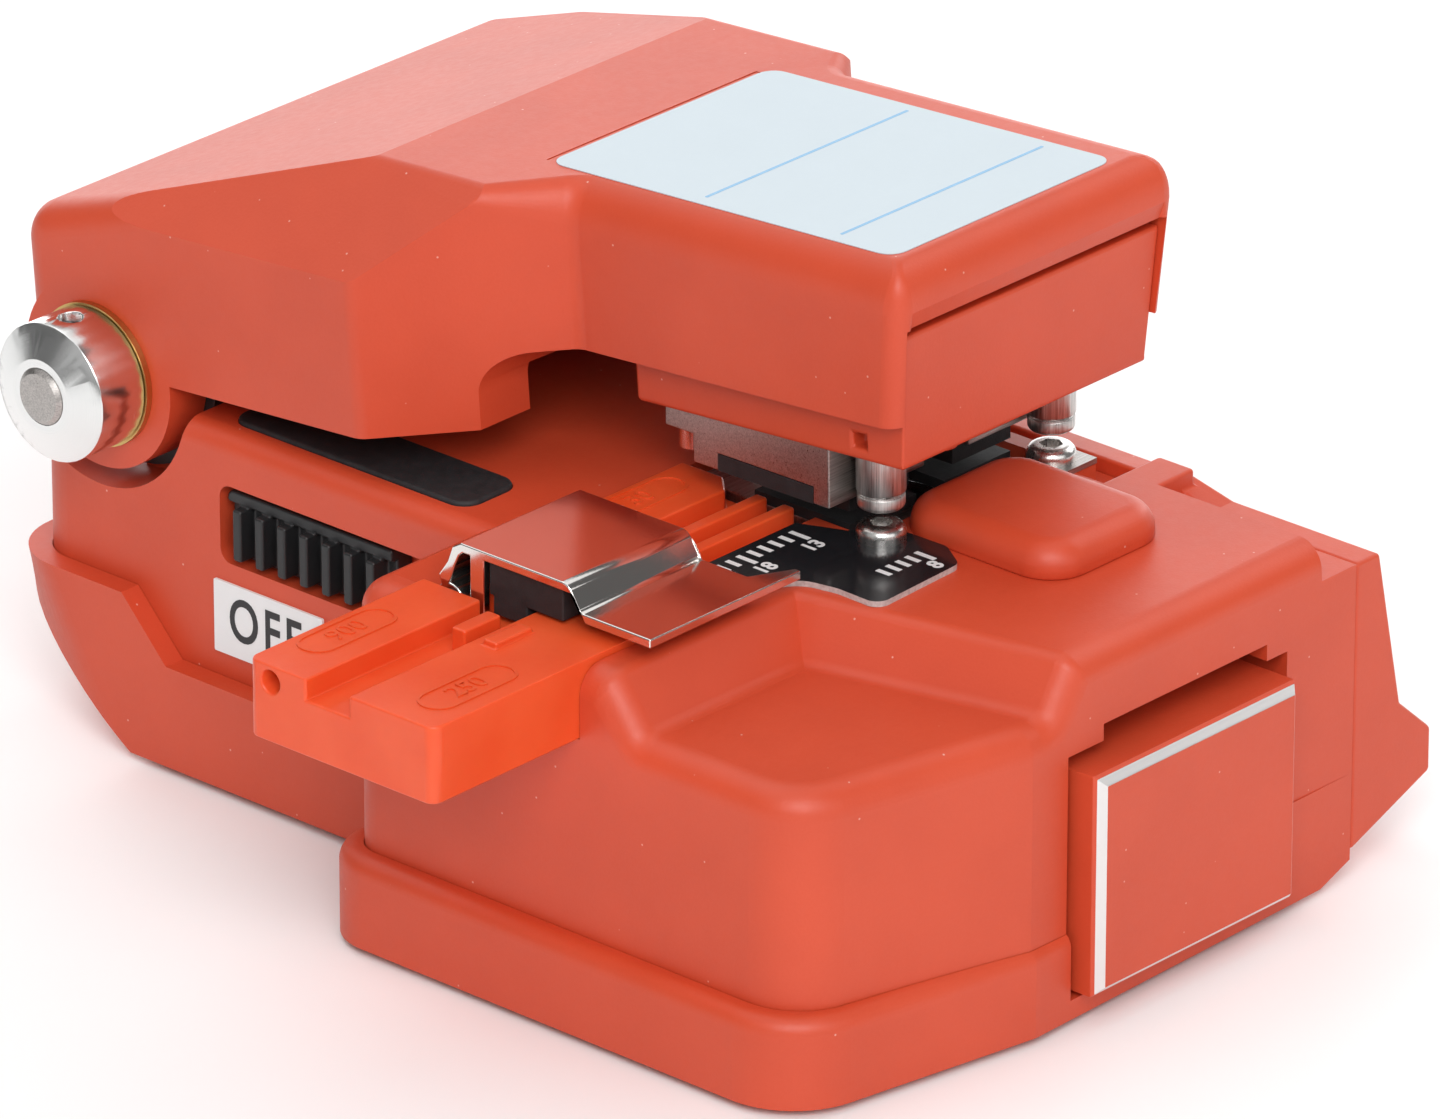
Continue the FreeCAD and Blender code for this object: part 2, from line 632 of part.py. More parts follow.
pocket(base, "XY", s.floor_z - 1, s.lock_low,
       rect(-s.rear_half + s.lock_deep + s.shell_wall + 1, s.rear_half - s.lock_deep - s.shell_wall - 1,
            s.tunnel_end + s.shell_wall, s.hinge_y - s.shell_wall))
pocket(base, "XY", shelf_z - 2.6, s.deck_z + 1,
       rect(s.blade_x + s.slot_half + s.jaw_long, s.block_right + 1, -3.0, 3.0))
pocket(base, "XY", shelf_z, s.deck_z + 1,
       rect(s.shelf_x - s.slot_deep, s.shelf_x + 1, -s.slot_front, -s.slot_back))
pocket(base, "XY", s.deck_z - s.strip_sunk, s.deck_z + 1,
       rect(-s.strip_left, -s.strip_left + s.strip_wide, s.strip_front, s.strip_front + s.strip_long))
round_edges(base, s.strip_round, *strip_corners(0))
pocket(base, "YZ", -s.rear_half - 1, -s.rear_half + s.lock_deep,
       rect(s.lock_front, s.lock_back, s.lock_low, s.lock_high))
round_edges(base, s.lock_round, on(y=s.lock_back, z=s.lock_low), on(y=s.lock_back, z=s.lock_high))
pocket(base, "YZ", -s.rear_half - 1, s.rear_half + 1, disc(s.hinge_y, hinge_z, 2 * pocket_radius))
pocket(base, "YZ", -s.rear_half - 1, s.rear_half + 1, [
    (s.hinge_y + pocket_radius * 0.55, hinge_z - pocket_radius * 0.84),
    (s.rear_back + 1, hinge_z - pocket_radius * 0.73), (s.rear_back + 1, s.deck_z + 1),
    (s.hinge_y + pocket_radius * 0.55, s.deck_z + 1)])
pad(base, "YZ", -barrel_half, barrel_half,
    rect(s.hinge_y - pocket_radius - 1, s.hinge_y, hinge_z - pocket_radius - 1, s.deck_z))
pad(base, "YZ", -barrel_half, barrel_half, disc(s.hinge_y, hinge_z, s.barrel_dia))
pocket(base, "YZ", -4.2, 4.2, disc(s.hinge_y, hinge_z, s.barrel_dia + 0.6))
pocket(base, "YZ", -barrel_half - 1, barrel_half + 1, disc(s.hinge_y, hinge_z, s.shaft_dia + 2 * s.slip_fit))
screw_spots = [(-s.block_left + 5.2, s.block_back - 5.5), (-s.block_left + 6.2, -corner_y + 6.8),
               (s.block_right - 3.5, -s.block_front + 11.2),
               (s.rear_half - 4.2, s.rear_back - 17.2), (-s.rear_half + 4.2, s.rear_back - 17.2)]
pocket(base, "XY", s.floor_z - 1, s.floor_z + s.tray_screw_grip + 0.5,
       *[disc(x, y, s.tray_screw_dia + 2 * s.slip_fit) for x, y in screw_spots])
pocket(base, "XY", s.deck_z - s.stop_grip - 0.2, s.deck_z + 1,
       *[disc(s.blade_x + side * s.stop_spread, -s.stop_y, s.stop_thread + 2 * s.slip_fit)
         for side in (-1, 1)])
node(base)

# Tray: a shell that stands out as a ledge round the foot of the body.
shell = new_body("tray_shell")
pad(shell, "XY", tray_low, s.seam_back_z, [
    (-s.block_left - s.ledge, s.block_back + s.ledge), (-s.block_left - s.ledge, -corner_y - s.ledge * 0.7),
    (-s.taper_x, -s.block_front - 0.5), (s.block_right, -s.block_front), (s.block_right, s.block_back + 0.1),
    (s.rear_half + s.ledge, s.block_back + 0.1), (s.rear_half + s.ledge, s.rear_back + s.ledge),
    (-s.rear_half - s.ledge, s.rear_back + s.ledge), (-s.rear_half - s.ledge, s.block_back + s.ledge)])
round_edges(shell, s.rear_round + s.ledge, on(x=-s.rear_half - s.ledge, y=s.rear_back + s.ledge),
            on(x=s.rear_half + s.ledge, y=s.rear_back + s.ledge))
round_edges(shell, s.corner_round + s.ledge * 0.6, on(x=-s.block_left - s.ledge, y=-corner_y - s.ledge * 0.7))
round_edges(shell, s.back_round + s.ledge, on(x=-s.block_left - s.ledge, y=s.block_back + s.ledge))
pocket(shell, "YZ", -far, far, scoop(s.rear_back + s.ledge, tray_low, s.keel_run, s.keel_rise))
pocket(shell, "YZ", -far, s.recess_right, [
    (-far, s.seam_z), (s.block_back + s.ledge + 0.3, s.seam_z), (s.block_back + 7.5, s.seam_right_z - 0.1),
    (s.seam_rise_y, s.seam_right_z), (s.seam_rise_y + 4.1, s.seam_back_z), (s.seam_rise_y + 4.1, far),
    (-far, far)])
pocket(shell, "YZ", s.recess_right, far, [
    (-far, s.seam_right_z), (s.seam_rise_y, s.seam_right_z), (s.seam_rise_y + 4.1, s.seam_back_z),
    (s.seam_rise_y + 4.1, far), (-far, far)])
pocket(shell, "XZ", -far, s.block_back + 0.1, [
    (s.shelf_x + 0.5, tray_low), (s.block_right + 1, tray_low), (s.block_right + 1, tray_low + 1.45)])
pocket(shell, "XY", s.floor_z, far, rect(-s.recess_left, s.recess_right, -far, -s.block_front + 10))
round_edges(shell, s.rim_round, on(z=s.seam_z, also=lambda spot: spot.x < -s.recess_left.value - 0.1
                                   and spot.y < s.block_back.value + s.ledge.value + 0.1))
head_top = tray_low + s.tray_screw_sunk + s.tray_screw_head
pocket(shell, "XY", 0, s.floor_z + 1,
       *[disc(x, y, s.tray_screw_dia + 2 * s.slip_fit) for x, y in screw_spots])
pocket(shell, "XY", 0, head_top, *[disc(x, y, 2 * s.tray_screw_dia + 0.2) for x, y in screw_spots])

core = new_body("tray_core")
pad(core, "XY", s.floor_z, far, [
    (-s.block_left - s.slip_fit, s.block_back + s.slip_fit),
    (-s.block_left - s.slip_fit, -corner_y - s.slip_fit),
    (-s.taper_x, -s.block_front - s.slip_fit), (s.recess_right, -s.block_front - s.slip_fit),
    (s.recess_right, -rebate_y - s.slip_fit), (s.block_right + 2, -rebate_y - s.slip_fit),
    (s.block_right + 2, s.block_back - 1), (s.rear_half + s.slip_fit, s.block_back - 1),
    (s.rear_half + s.slip_fit, s.rear_back + s.slip_fit),
    (-s.rear_half - s.slip_fit, s.rear_back + s.slip_fit),
    (-s.rear_half - s.slip_fit, s.block_back + s.slip_fit)])
round_edges(core, s.keel_round, on(y=s.rear_back + s.slip_fit, z=s.floor_z))
round_edges(core, s.rear_round, on(x=-s.rear_half - s.slip_fit, y=s.rear_back + s.slip_fit),
            on(x=s.rear_half + s.slip_fit, y=s.rear_back + s.slip_fit))
round_edges(core, s.corner_round, on(x=-s.block_left - s.slip_fit, y=-corner_y - s.slip_fit))
round_edges(core, s.back_round, on(x=-s.block_left - s.slip_fit, y=s.block_back + s.slip_fit))
tray = doc.addObject("Part::Cut", "base_tray")
tray.Label = "base_tray"
tray.Base = shell
tray.Tool = core
node(tray)

# Sole and the screws that hold the tray
sole = new_body("sole_pad")
pad(sole, "XY", 0, s.sole_thick, [
    (-s.block_left + s.sole_inset, s.block_back), (-s.block_left + s.sole_inset, -corner_y + 2),
    (s.recess_right, -corner_y + 2), (s.recess_right, s.block_back),
    (s.rear_half - s.sole_inset, s.block_back + 3),
    (s.rear_half - s.sole_inset, s.rear_back - s.keel_round - 3),
    (-s.rear_half + s.sole_inset, s.rear_back - s.keel_round - 3),
    (-s.rear_half + s.sole_inset, s.block_back)],
    *[disc(x, y, 2 * s.tray_screw_dia + 1.4) for x, y in screw_spots[:2] + screw_spots[3:]])
node(sole)
screws = []
for number, (x, y) in enumerate(screw_spots, start=1):
    screw = new_body("tray_screw_%d" % number)
    pad(screw, "XY", tray_low + s.tray_screw_sunk, head_top, disc(x, y, 2 * s.tray_screw_dia))
    pad(screw, "XY", head_top, s.floor_z + s.tray_screw_grip, disc(x, y, s.tray_screw_dia))
    pocket(screw, "XY", tray_low, tray_low + 0.75 * s.tray_screw_head, hexagon(x, y, s.tray_screw_key))
    screws.append(screw)
node(group("tray_screws", screws))

# Slider: push cap, carriage on its rail, and the round blade
cap = new_body("slider_cap")
cap_left = s.recess_left - s.cap_gap
cap_right = s.recess_right - s.cap_gap_right
pad(cap, "XY", s.floor_z + s.move_gap, s.recess_top - s.cap_gap_top,
    rect(-cap_left, cap_right, -s.cap_front, -s.cap_front + s.cap_thick))
bevel_edges(cap, s.cap_bevel, on(y=-s.cap_front))
node(cap)

rail = new_body("slide_rail")
pad(rail, "XY", s.floor_z, s.floor_z + s.rail_high,
    rect(-s.tunnel_x - s.rail_half, -s.tunnel_x + s.rail_half,
         -s.cap_front + s.cap_thick + s.push_travel + s.move_gap, s.tunnel_end - 0.2))
node(rail)

carriage = new_body("slider_carriage")
carriage_half = s.tunnel_half - 0.5
carriage_front = s.cap_front - s.cap_thick
wheel_left = s.blade_x - s.blade_thick / 2
wheel_right = s.blade_x + s.blade_thick / 2
hub_left = wheel_left - s.hub_out - s.hub_play
hub_right = wheel_right + s.hub_out + s.hub_play
pad(carriage, "XY", s.floor_z + 0.6, s.carriage_top,
    rect(-s.tunnel_x - carriage_half, -s.tunnel_x + carriage_half, -carriage_front, s.carriage_end))
pad(carriage, "XY", s.carriage_top, s.recess_top - s.move_gap,
    rect(wheel_left - s.axle_long, hub_left, -s.blade_y - 6.5, -s.blade_y + 6.5))
pad(carriage, "XY", s.carriage_top, s.recess_top - 2 * s.move_gap,
    rect(-s.tunnel_x - 1.05, -s.tunnel_x + 3.75, -carriage_front, -carriage_front + 2.5))
pocket(carriage, "XZ", -carriage_front - 1, s.carriage_end + 1,
       rect(-s.tunnel_x - s.rail_half - 2 * s.slip_fit, -s.tunnel_x + s.rail_half + 2 * s.slip_fit,
            s.floor_z - 1, s.floor_z + s.rail_high + 2 * s.slip_fit))
pocket(carriage, "YZ", s.blade_x - 8, s.blade_x + 2, disc(-s.blade_y, blade_z, s.axle_dia + 2 * s.slip_fit))
pocket(carriage, "YZ", hub_left, s.tunnel_half + 1,
       disc(-s.blade_y, blade_z, s.blade_dia + 2 * s.move_gap))
node(carriage)

axle = new_body("blade_axle")
pad(axle, "YZ", wheel_left - s.axle_long, hub_right, disc(-s.blade_y, blade_z, s.axle_dia))
pad(axle, "YZ", hub_right, hub_right + s.axle_head, disc(-s.blade_y, blade_z, s.axle_dia * 1.5))
bevel_edges(axle, s.axle_head / 4, on(x=hub_right + s.axle_head))
node(axle)

blade = new_body("blade_wheel")
pad(blade, "YZ", wheel_left, wheel_right, disc(-s.blade_y, blade_z, s.blade_dia))
bevel_edges(blade, s.blade_thick * 0.45, on(x=wheel_left), on(x=wheel_right))
pad(blade, "YZ", wheel_left - s.hub_out, wheel_right + s.hub_out, disc(-s.blade_y, blade_z, s.axle_dia * 1.5))
pocket(blade, "YZ", s.blade_x - 4, s.blade_x + 4, disc(-s.blade_y, blade_z, s.axle_dia + 2 * s.slip_fit))
node(blade)

# Lower jaws with their rubber pads, on each side of the blade
for side, name in ((-1, "left"), (1, "right")):
    near = s.blade_x + side * (s.slot_half + 0.2)
    away = s.blade_x + side * (s.slot_half + s.jaw_long)
    ends = (near, away) if side > 0 else (away, near)
    jaw = new_body("lower_jaw_" + name)
    pad(jaw, "XY", jaw_floor, jaw_floor + s.jaw_high,
        rect(*ends, -s.adapter_half + 0.6, s.adapter_half - 0.6))
    node(jaw)
    cushion = new_body("lower_pad_" + name)
    pad(cushion, "XY", jaw_floor + s.jaw_high, fibre_z - s.slip_fit, rect(*ends, -s.pad_front, s.pad_back))
    node(cushion)

# Blade cover, scale plate, shim and stop screws on the deck
cover = new_body("blade_cover")
cover_x = s.blade_x - 0.5
pad(cover, "XY", s.deck_z, s.deck_z + s.cover_high,
    rect(cover_x - s.cover_half, cover_x + s.cover_half, -s.cover_front, -s.cover_back))
round_edges(cover, s.cover_half / 2, on(x=cover_x - s.cover_half, y=-s.cover_front),
            on(x=cover_x + s.cover_half, y=-s.cover_front), on(x=cover_x - s.cover_half, y=-s.cover_back),
            on(x=cover_x + s.cover_half, y=-s.cover_back))
round_edges(cover, s.cover_high * 0.75, on(z=s.deck_z + s.cover_high))
pocket(cover, "XY", s.deck_z - 1, s.deck_z + 0.8,
       rect(s.blade_x - s.slot_half, s.blade_x + s.slot_half,
            -s.blade_y - s.blade_dia / 2, -s.cover_back + 1))
node(cover)

stop_left = s.blade_x - s.stop_spread
stop_right = s.blade_x + s.stop_spread
plate_top = s.deck_z + s.plate_thick
scale = new_body("scale_plate")
pad(scale, "XY", s.deck_z, plate_top, [
    (-s.notch_x + 1.15, -s.notch_y - 0.25), (stop_left - 2.15, -s.notch_y - 0.25),
    (stop_left - 0.75, -s.notch_y - 3.6), (stop_left + 1.65, -s.stop_y + 0.9),
    (stop_left + 1.75, -s.stop_y - 4.2), (stop_left + 0.2, -s.stop_y - 6.6),
    (stop_left - 8.15, -s.stop_y - 6.95), (stop_left - 8.05, -s.stop_y - 3.3),
    (stop_left - 8.65, -s.stop_y - 0.3),
    (-s.notch_x + 0.1, -s.adapter_half - 0.5)],
    disc(stop_left, -s.stop_y, s.stop_thread + 2 * s.slip_fit))
round_edges(scale, 1.0, on(x=stop_left + 1.75, y=-s.stop_y - 4.2), on(x=stop_left + 0.2, y=-s.stop_y - 6.6),
            on(x=stop_left - 8.15, y=-s.stop_y - 6.95), on(x=stop_left + 1.65, y=-s.stop_y + 0.9))
round_edges(scale, 2.4, on(x=stop_left - 8.05, y=-s.stop_y - 3.3), on(x=stop_left - 8.65, y=-s.stop_y - 0.3))
node(scale)

shim = new_body("shim_plate")
pad(shim, "XY", s.deck_z, plate_top,
    rect(stop_right - 2.5, s.shelf_x, -s.stop_y - 2.2, -s.adapter_half - 0.1),
    disc(stop_right, -s.stop_y, s.stop_thread + 2 * s.slip_fit))
node(shim)

screws = []
for name, x in (("left", stop_left), ("right", stop_right)):
    screw = new_body("stop_screw_" + name)
    pad(screw, "XY", s.deck_z - s.stop_grip, plate_top, disc(x, -s.stop_y, s.stop_thread))
    pad(screw, "XY", plate_top, plate_top + s.stop_head, disc(x, -s.stop_y, s.stop_dia))
    round_edges(screw, s.stop_head * 0.6, on(z=plate_top + s.stop_head))
    pocket(screw, "XY", plate_top + s.stop_head * 0.35, plate_top + s.stop_head + 1,
           hexagon(x, -s.stop_y, s.stop_key))
    screws.append(screw)
node(group("stop_screws", screws))

strip = new_body("deck_strip")
pad(strip, "XY", s.deck_z - s.strip_sunk, s.deck_z + s.strip_over,
    rect(-s.strip_left + s.slip_fit, -s.strip_left + s.strip_wide - s.slip_fit,
         s.strip_front + s.slip_fit, s.strip_front + s.strip_long - s.slip_fit))
round_edges(strip, s.strip_round - s.slip_fit, *strip_corners(s.slip_fit))
round_edges(strip, s.strip_soft, on(z=s.deck_z + s.strip_over))
node(strip)

# Scrap collector on the right
bin_in = s.block_right + 0.1
bin_out = s.block_right + s.bin_out
chute = new_body("collector_bin")
pad(chute, "XZ", -s.block_front, s.block_back - 0.2, [
    (bin_in, s.floor_z + 0.3), (bin_in, shelf_z + 1.1), (bin_in + 2.2, shelf_z + 0.9),
    (bin_in + 4.9, s.floor_z + 9.5), (bin_out, s.floor_z + 6.6), (bin_out, s.floor_z + 3.4)])
pocket(chute, "XZ", -s.block_front + s.bin_wall, s.block_back - 0.2 - s.bin_wall, [
    (bin_in - 1, s.floor_z + 0.3 + s.bin_wall), (bin_in - 1, shelf_z - s.bin_wall),
    (bin_in + 2.2 - s.bin_wall, shelf_z - s.bin_wall), (bin_in + 4.9 - s.bin_wall, s.floor_z + 9.0),
    (bin_out - s.bin_wall, s.floor_z + 6.1), (bin_out - s.bin_wall, s.floor_z + 3.4 + s.bin_wall),
    (bin_in, s.floor_z + 0.3 + s.bin_wall)])
pocket(chute, "YZ", bin_in - 1, bin_out + 1, [
    (-s.block_front - 1, shelf_z), (-s.block_front + 12.6, shelf_z), (-s.block_front + 16.6, shelf_z + 1.1),
    (-s.block_front + 16.6, shelf_z + 5), (-s.block_front - 1, shelf_z + 5)])
pad(chute, "XY", shelf_z + s.slip_fit, s.deck_z - s.tab_drop,
    rect(s.shelf_x - s.slot_deep + 0.4, bin_in + s.bin_wall, -s.slot_front + 0.5, -s.slot_back - 1.4))
node(chute)

# Fibre adapter, removable, in its seat
adapter = new_body("adapter_plate")
groove_z = adapter_top - s.groove_deep
guide_mid = -0.2 - s.guide_gap / 2
pad(adapter, "XY", adapter_low, adapter_top, [
    (-s.adapter_left, -s.adapter_half), (-s.notch_x, -s.adapter_half), (-s.notch_x, -s.notch_y),
    (-s.adapter_right, -s.notch_y), (-s.adapter_right, s.adapter_half), (-s.adapter_left, s.adapter_half)])
round_edges(adapter, 0.8, on(x=-s.adapter_left, y=-s.adapter_half), on(x=-s.adapter_left, y=s.adapter_half))
pocket(adapter, "XY", groove_z, adapter_top + 1,
       rect(-s.adapter_left - 1, -s.notch_x, -s.groove_front, s.groove_back))
pocket(adapter, "XY", groove_z, adapter_top + 1,
       rect(-s.notch_x, -s.adapter_right + 1, -s.notch_y - 1, s.groove_back))
pad(adapter, "XY", groove_z, adapter_top,
    rect(-s.notch_x + 1.6, -s.adapter_right - 0.5, 0.1, 0.1 + s.rail_wall),
    rect(-s.notch_x + 1.6, -s.adapter_right - 0.5, -1.3 - s.rail_wall, -1.3))
pad(adapter, "XY", groove_z, adapter_top + s.guide_rise,
    rect(-s.guide_left, -s.guide_left + s.guide_long, guide_mid + s.guide_gap / 2,
         guide_mid + s.guide_gap / 2 + s.guide_wall),
    rect(-s.guide_left, -s.guide_left + s.guide_long, guide_mid - s.guide_gap / 2 - s.guide_wall,
         guide_mid - s.guide_gap / 2))
bevel_edges(adapter, 1.5, on(x=-s.adapter_right, y=s.groove_back))
pocket(adapter, "XY", pin_z - s.knuckle_dia / 2 - 2 * s.move_gap, adapter_top + 1,
       rect(-s.leaf_left - s.move_gap, -leaf_right + s.move_gap,
            s.leaf_pin_y - s.knuckle_dia / 2 - s.move_gap, s.adapter_half + 1))
pocket(adapter, "XY", groove_z - s.move_gap, adapter_top + 1,
       rect(-s.leaf_left - s.move_gap, -s.leaf_left + s.leaf_sheet + s.move_gap,
            s.ear_front - s.move_gap, s.leaf_pin_y))
pocket(adapter, "YZ", -s.adapter_left - 1, -leaf_right + 2.5,
       disc(s.leaf_pin_y, pin_z, s.leaf_pin_dia + 2 * s.slip_fit))
magnet_x = (s.leaf_left + leaf_right) / 2
pocket(adapter, "XY", adapter_top - s.magnet_deep, adapter_top + 1,
       disc(-magnet_x, -s.magnet_y, s.magnet_dia + 2 * s.slip_fit))
node(adapter)

magnet = new_body("adapter_magnet")
pad(magnet, "XY", adapter_top - s.magnet_deep, adapter_top - s.slip_fit,
    disc(-magnet_x, -s.magnet_y, s.magnet_dia))
node(magnet)

pin = new_body("leaf_pin")
pad(pin, "YZ", -s.leaf_left - 6, -leaf_right + 2.4, disc(s.leaf_pin_y, pin_z, s.leaf_pin_dia))
node(pin)

# Clamp leaf with its rubber pad
leaf = new_body("clamp_leaf")
leaf_top = adapter_top + s.leaf_rise
leaf_under = leaf_top - s.leaf_sheet
tab_top = adapter_top + s.leaf_tab_rise
tab_low = tab_top - s.leaf_sheet
bend_y = -s.leaf_bend
foot_y = bend_y - 1.1
pad(leaf, "YZ", -s.leaf_left, -leaf_right, disc(s.leaf_pin_y, pin_z, s.knuckle_dia))
pad(leaf, "YZ", -s.leaf_left, -leaf_right, [
    (s.leaf_pin_y + s.leaf_lip, adapter_top + 0.45), (s.leaf_pin_y + 0.2, leaf_top - 1.65),
    (s.leaf_pin_y - 0.25, leaf_top - 0.45), (s.leaf_pin_y - 1.0, leaf_top), (bend_y, leaf_top),
    (foot_y, tab_top), (foot_y - 1.5, tab_top), (foot_y - 1.5, tab_low), (foot_y - 0.35, tab_low),
    (bend_y - 0.35, leaf_under),
    (s.leaf_pin_y - 1.2, leaf_under), (s.leaf_pin_y - 0.85, leaf_top - 0.95),
    (s.leaf_pin_y - 0.45, leaf_top - 1.8), (s.leaf_pin_y + 0.1, adapter_top - 0.1),
    (s.leaf_pin_y + 0.75, adapter_top - 0.15)])
round_edges(leaf, 1.0, on(y=bend_y, z=leaf_top))
round_edges(leaf, 0.5, on(y=foot_y, z=tab_top), on(y=bend_y - 0.35, z=leaf_under))
pad(leaf, "YZ", -s.leaf_left, -s.leaf_left + s.leaf_sheet,
    rect(s.ear_front, s.ear_front + s.ear_wide, groove_z, leaf_under + 0.1))
pad(leaf, "XY", tab_low, tab_top, [
    (-s.leaf_left, foot_y - 1.0), (-s.leaf_left, -s.leaf_front), (-leaf_right + s.leaf_flare, -s.leaf_front),
    (-leaf_right + s.leaf_flare, -s.leaf_front + 0.5), (-leaf_right, -s.leaf_front + 2.0),
    (-leaf_right, foot_y - 1.0)])
pocket(leaf, "YZ", -s.leaf_left - 1, -leaf_right + 1,
       disc(s.leaf_pin_y, pin_z, s.leaf_pin_dia + 2 * s.slip_fit))
node(leaf)

cushion = new_body("leaf_pad")
pad(cushion, "YZ", -s.leaf_left + 0.3, -leaf_right - 0.8, [
    (s.ear_front - 0.2, leaf_under), (bend_y + 0.7, leaf_under), (bend_y + 0.7, adapter_top + 0.2),
    (-s.groove_front + 0.4, adapter_top + 0.2), (-s.groove_front + 0.4, groove_z + 0.4),
    (s.groove_back - 0.4, groove_z + 0.4), (s.groove_back - 0.4, adapter_top + 0.2),
    (s.ear_front - 0.2, adapter_top + 0.2)])
node(cushion)

# Hinge of the lid
shaft = new_body("hinge_shaft")
shaft_half = s.rear_half + s.washer_thick + s.collar_long + s.collar_cone + 0.4
pad(shaft, "YZ", -shaft_half, shaft_half, disc(s.hinge_y, hinge_z, s.shaft_dia))
bevel_edges(shaft, 0.3, on(x=-shaft_half), on(x=shaft_half))
node(shaft)

collars = []
set_screws = []
washers = []
spacers = []
for side, name in ((-1, "left"), (1, "right")):
    inner = s.rear_half + s.washer_thick + 2 * s.slip_fit
    bore = s.shaft_dia / 2 + 0.01
    wide = s.collar_dia / 2
    first = side * inner
    middle = side * (inner + s.collar_long)
    last = side * (inner + s.collar_long + s.collar_cone)
    collar = turned("collar_" + name, [
        (first, bore), (first, wide), (middle, wide), (last, wide - s.collar_taper), (last, bore)])
    screw_x = side * (inner + s.collar_long / 2)
    pocket(collar, "XY", 0.5, wide + 1, disc(screw_x, 0, s.set_screw_dia))
    place(collar, 0, s.hinge_y, hinge_z)
    collars.append(collar)
    screw = new_body("collar_screw_" + name)
    pad(screw, "XY", bore, bore + s.set_screw_long, disc(screw_x, 0, s.set_screw_dia - 2 * s.slip_fit))
    pocket(screw, "XY", bore + 1.2, bore + 3, hexagon(screw_x, 0, s.set_screw_dia / 2))
    place(screw, 0, s.hinge_y, hinge_z)
    set_screws.append(screw)
    washer = turned("thrust_washer_" + name, [
        (side * (s.rear_half + s.slip_fit), bore), (side * (s.rear_half + s.slip_fit), wide - 0.2),
        (side * (s.rear_half + s.slip_fit + s.washer_thick), wide - 0.2),
        (side * (s.rear_half + s.slip_fit + s.washer_thick), bore)])
    place(washer, 0, s.hinge_y, hinge_z)
    washers.append(washer)
    spacer_x = barrel_half + s.slip_fit
    low, high = (spacer_x, spacer_x + s.spacer_thick) if side > 0 else (-spacer_x - s.spacer_thick, -spacer_x)
    spacer = new_body("hinge_spacer_" + name)
    pad(spacer, "YZ", low, high, disc(s.hinge_y, hinge_z, 2 * s.spacer_radius),
        disc(s.hinge_y, hinge_z, s.shaft_dia + 2 * s.slip_fit))
    pocket(spacer, "YZ", low - 1, high + 1, rect(s.hinge_y + s.lug_radius - 2.1, far, 0, far))
    tip(spacer, s.lid_pitch)
    spacers.append(spacer)
node(group("shaft_collars", collars))
node(group("collar_screws", set_screws))
node(group("thrust_washers", washers))
node(group("hinge_spacers", spacers))

# Lid shell, drawn level
lid = new_body("lid_shell")
lid_low = hinge_z + s.cheek_rise
roof = hinge_z + s.lid_roof
wall_top = hinge_z + s.lid_wall_top
box_low = hinge_z + s.box_rise
block_low = hinge_z + s.block_rise
block_top = hinge_z + s.block_top
lid_back = s.hinge_y + s.lug_radius
block_half = s.box_half - s.box_wall - s.slip_fit
cheek_in = s.rear_half - s.lug_thick
pad(lid, "XY", lid_low, roof, [
    (-s.rear_half, lid_back), (-s.rear_half, s.slant_back), (-s.box_half, s.box_back),
    (-s.box_half, -s.box_front), (s.box_half, -s.box_front), (s.box_half, s.box_back),
    (s.rear_half, s.slant_back), (s.rear_half, lid_back)])
pocket(lid, "YZ", -far, far, [
    (s.lid_crease, roof), (lid_back, roof - s.lid_fall), (lid_back + 1, roof - s.lid_fall),
    (lid_back + 1, roof + 1), (s.lid_crease, roof + 1)])
round_edges(lid, s.lid_back_round, on(y=lid_back, z=roof - s.lid_fall))
round_edges(lid, s.lid_back_round * 0.8, on(x=-s.rear_half, y=lid_back), on(x=s.rear_half, y=lid_back))
for side in (-1, 1):
    pocket(lid, "XZ", -far, far, [
        (side * s.rear_half, wall_top), (side * (s.rear_half - s.lid_shoulder), roof),
        (side * (s.rear_half - s.lid_shoulder), roof + 1), (side * (s.rear_half + 1), roof + 1),
        (side * (s.rear_half + 1), wall_top)])
round_edges(lid, s.lid_round, on(x=-s.box_half, y=-s.box_front), on(x=s.box_half, y=-s.box_front),
            on(x=-s.rear_half, y=s.slant_back), on(x=s.rear_half, y=s.slant_back),
            on(x=-s.box_half, y=s.box_back), on(x=s.box_half, y=s.box_back))
round_edges(lid, s.lid_round * 0.8, on(z=roof, also=lambda spot: spot.y < s.lid_crease.value - 0.1))
pocket(lid, "YZ", -far, far, rect(-s.box_front - 1, s.arch_y, lid_low - 1, box_low))
round_edges(lid, s.arch_round, on(y=s.arch_y, z=box_low))
pocket(lid, "XY", lid_low - 1, hinge_z + s.cavity_rise, [
    (-cheek_in, s.slant_back + 1.5), (-cheek_in + 7.2, s.arch_y - 0.1), (cheek_in - 7.2, s.arch_y - 0.1),
    (cheek_in, s.slant_back + 1.5), (cheek_in, lid_back - 1.8), (-cheek_in, lid_back - 1.8)])
pocket(lid, "XZ", -s.box_front - 1, 8 + s.slip_fit,
       rect(-block_half - s.slip_fit, block_half + s.slip_fit, box_low - 1, block_top + 0.15))
pad(lid, "YZ", -s.rear_half, -cheek_in, disc(s.hinge_y, hinge_z, 2 * s.lug_radius))
pad(lid, "YZ", cheek_in, s.rear_half, disc(s.hinge_y, hinge_z, 2 * s.lug_radius))
pocket(lid, "YZ", -s.rear_half - 1, s.rear_half + 1, disc(s.hinge_y, hinge_z, s.shaft_dia + 2 * s.slip_fit))
pocket(lid, "XY", roof - s.label_deep, roof + 1,
       rect(-s.label_half, s.label_half, -s.label_front, s.label_back))
tip(lid, s.lid_pitch)
node(lid)

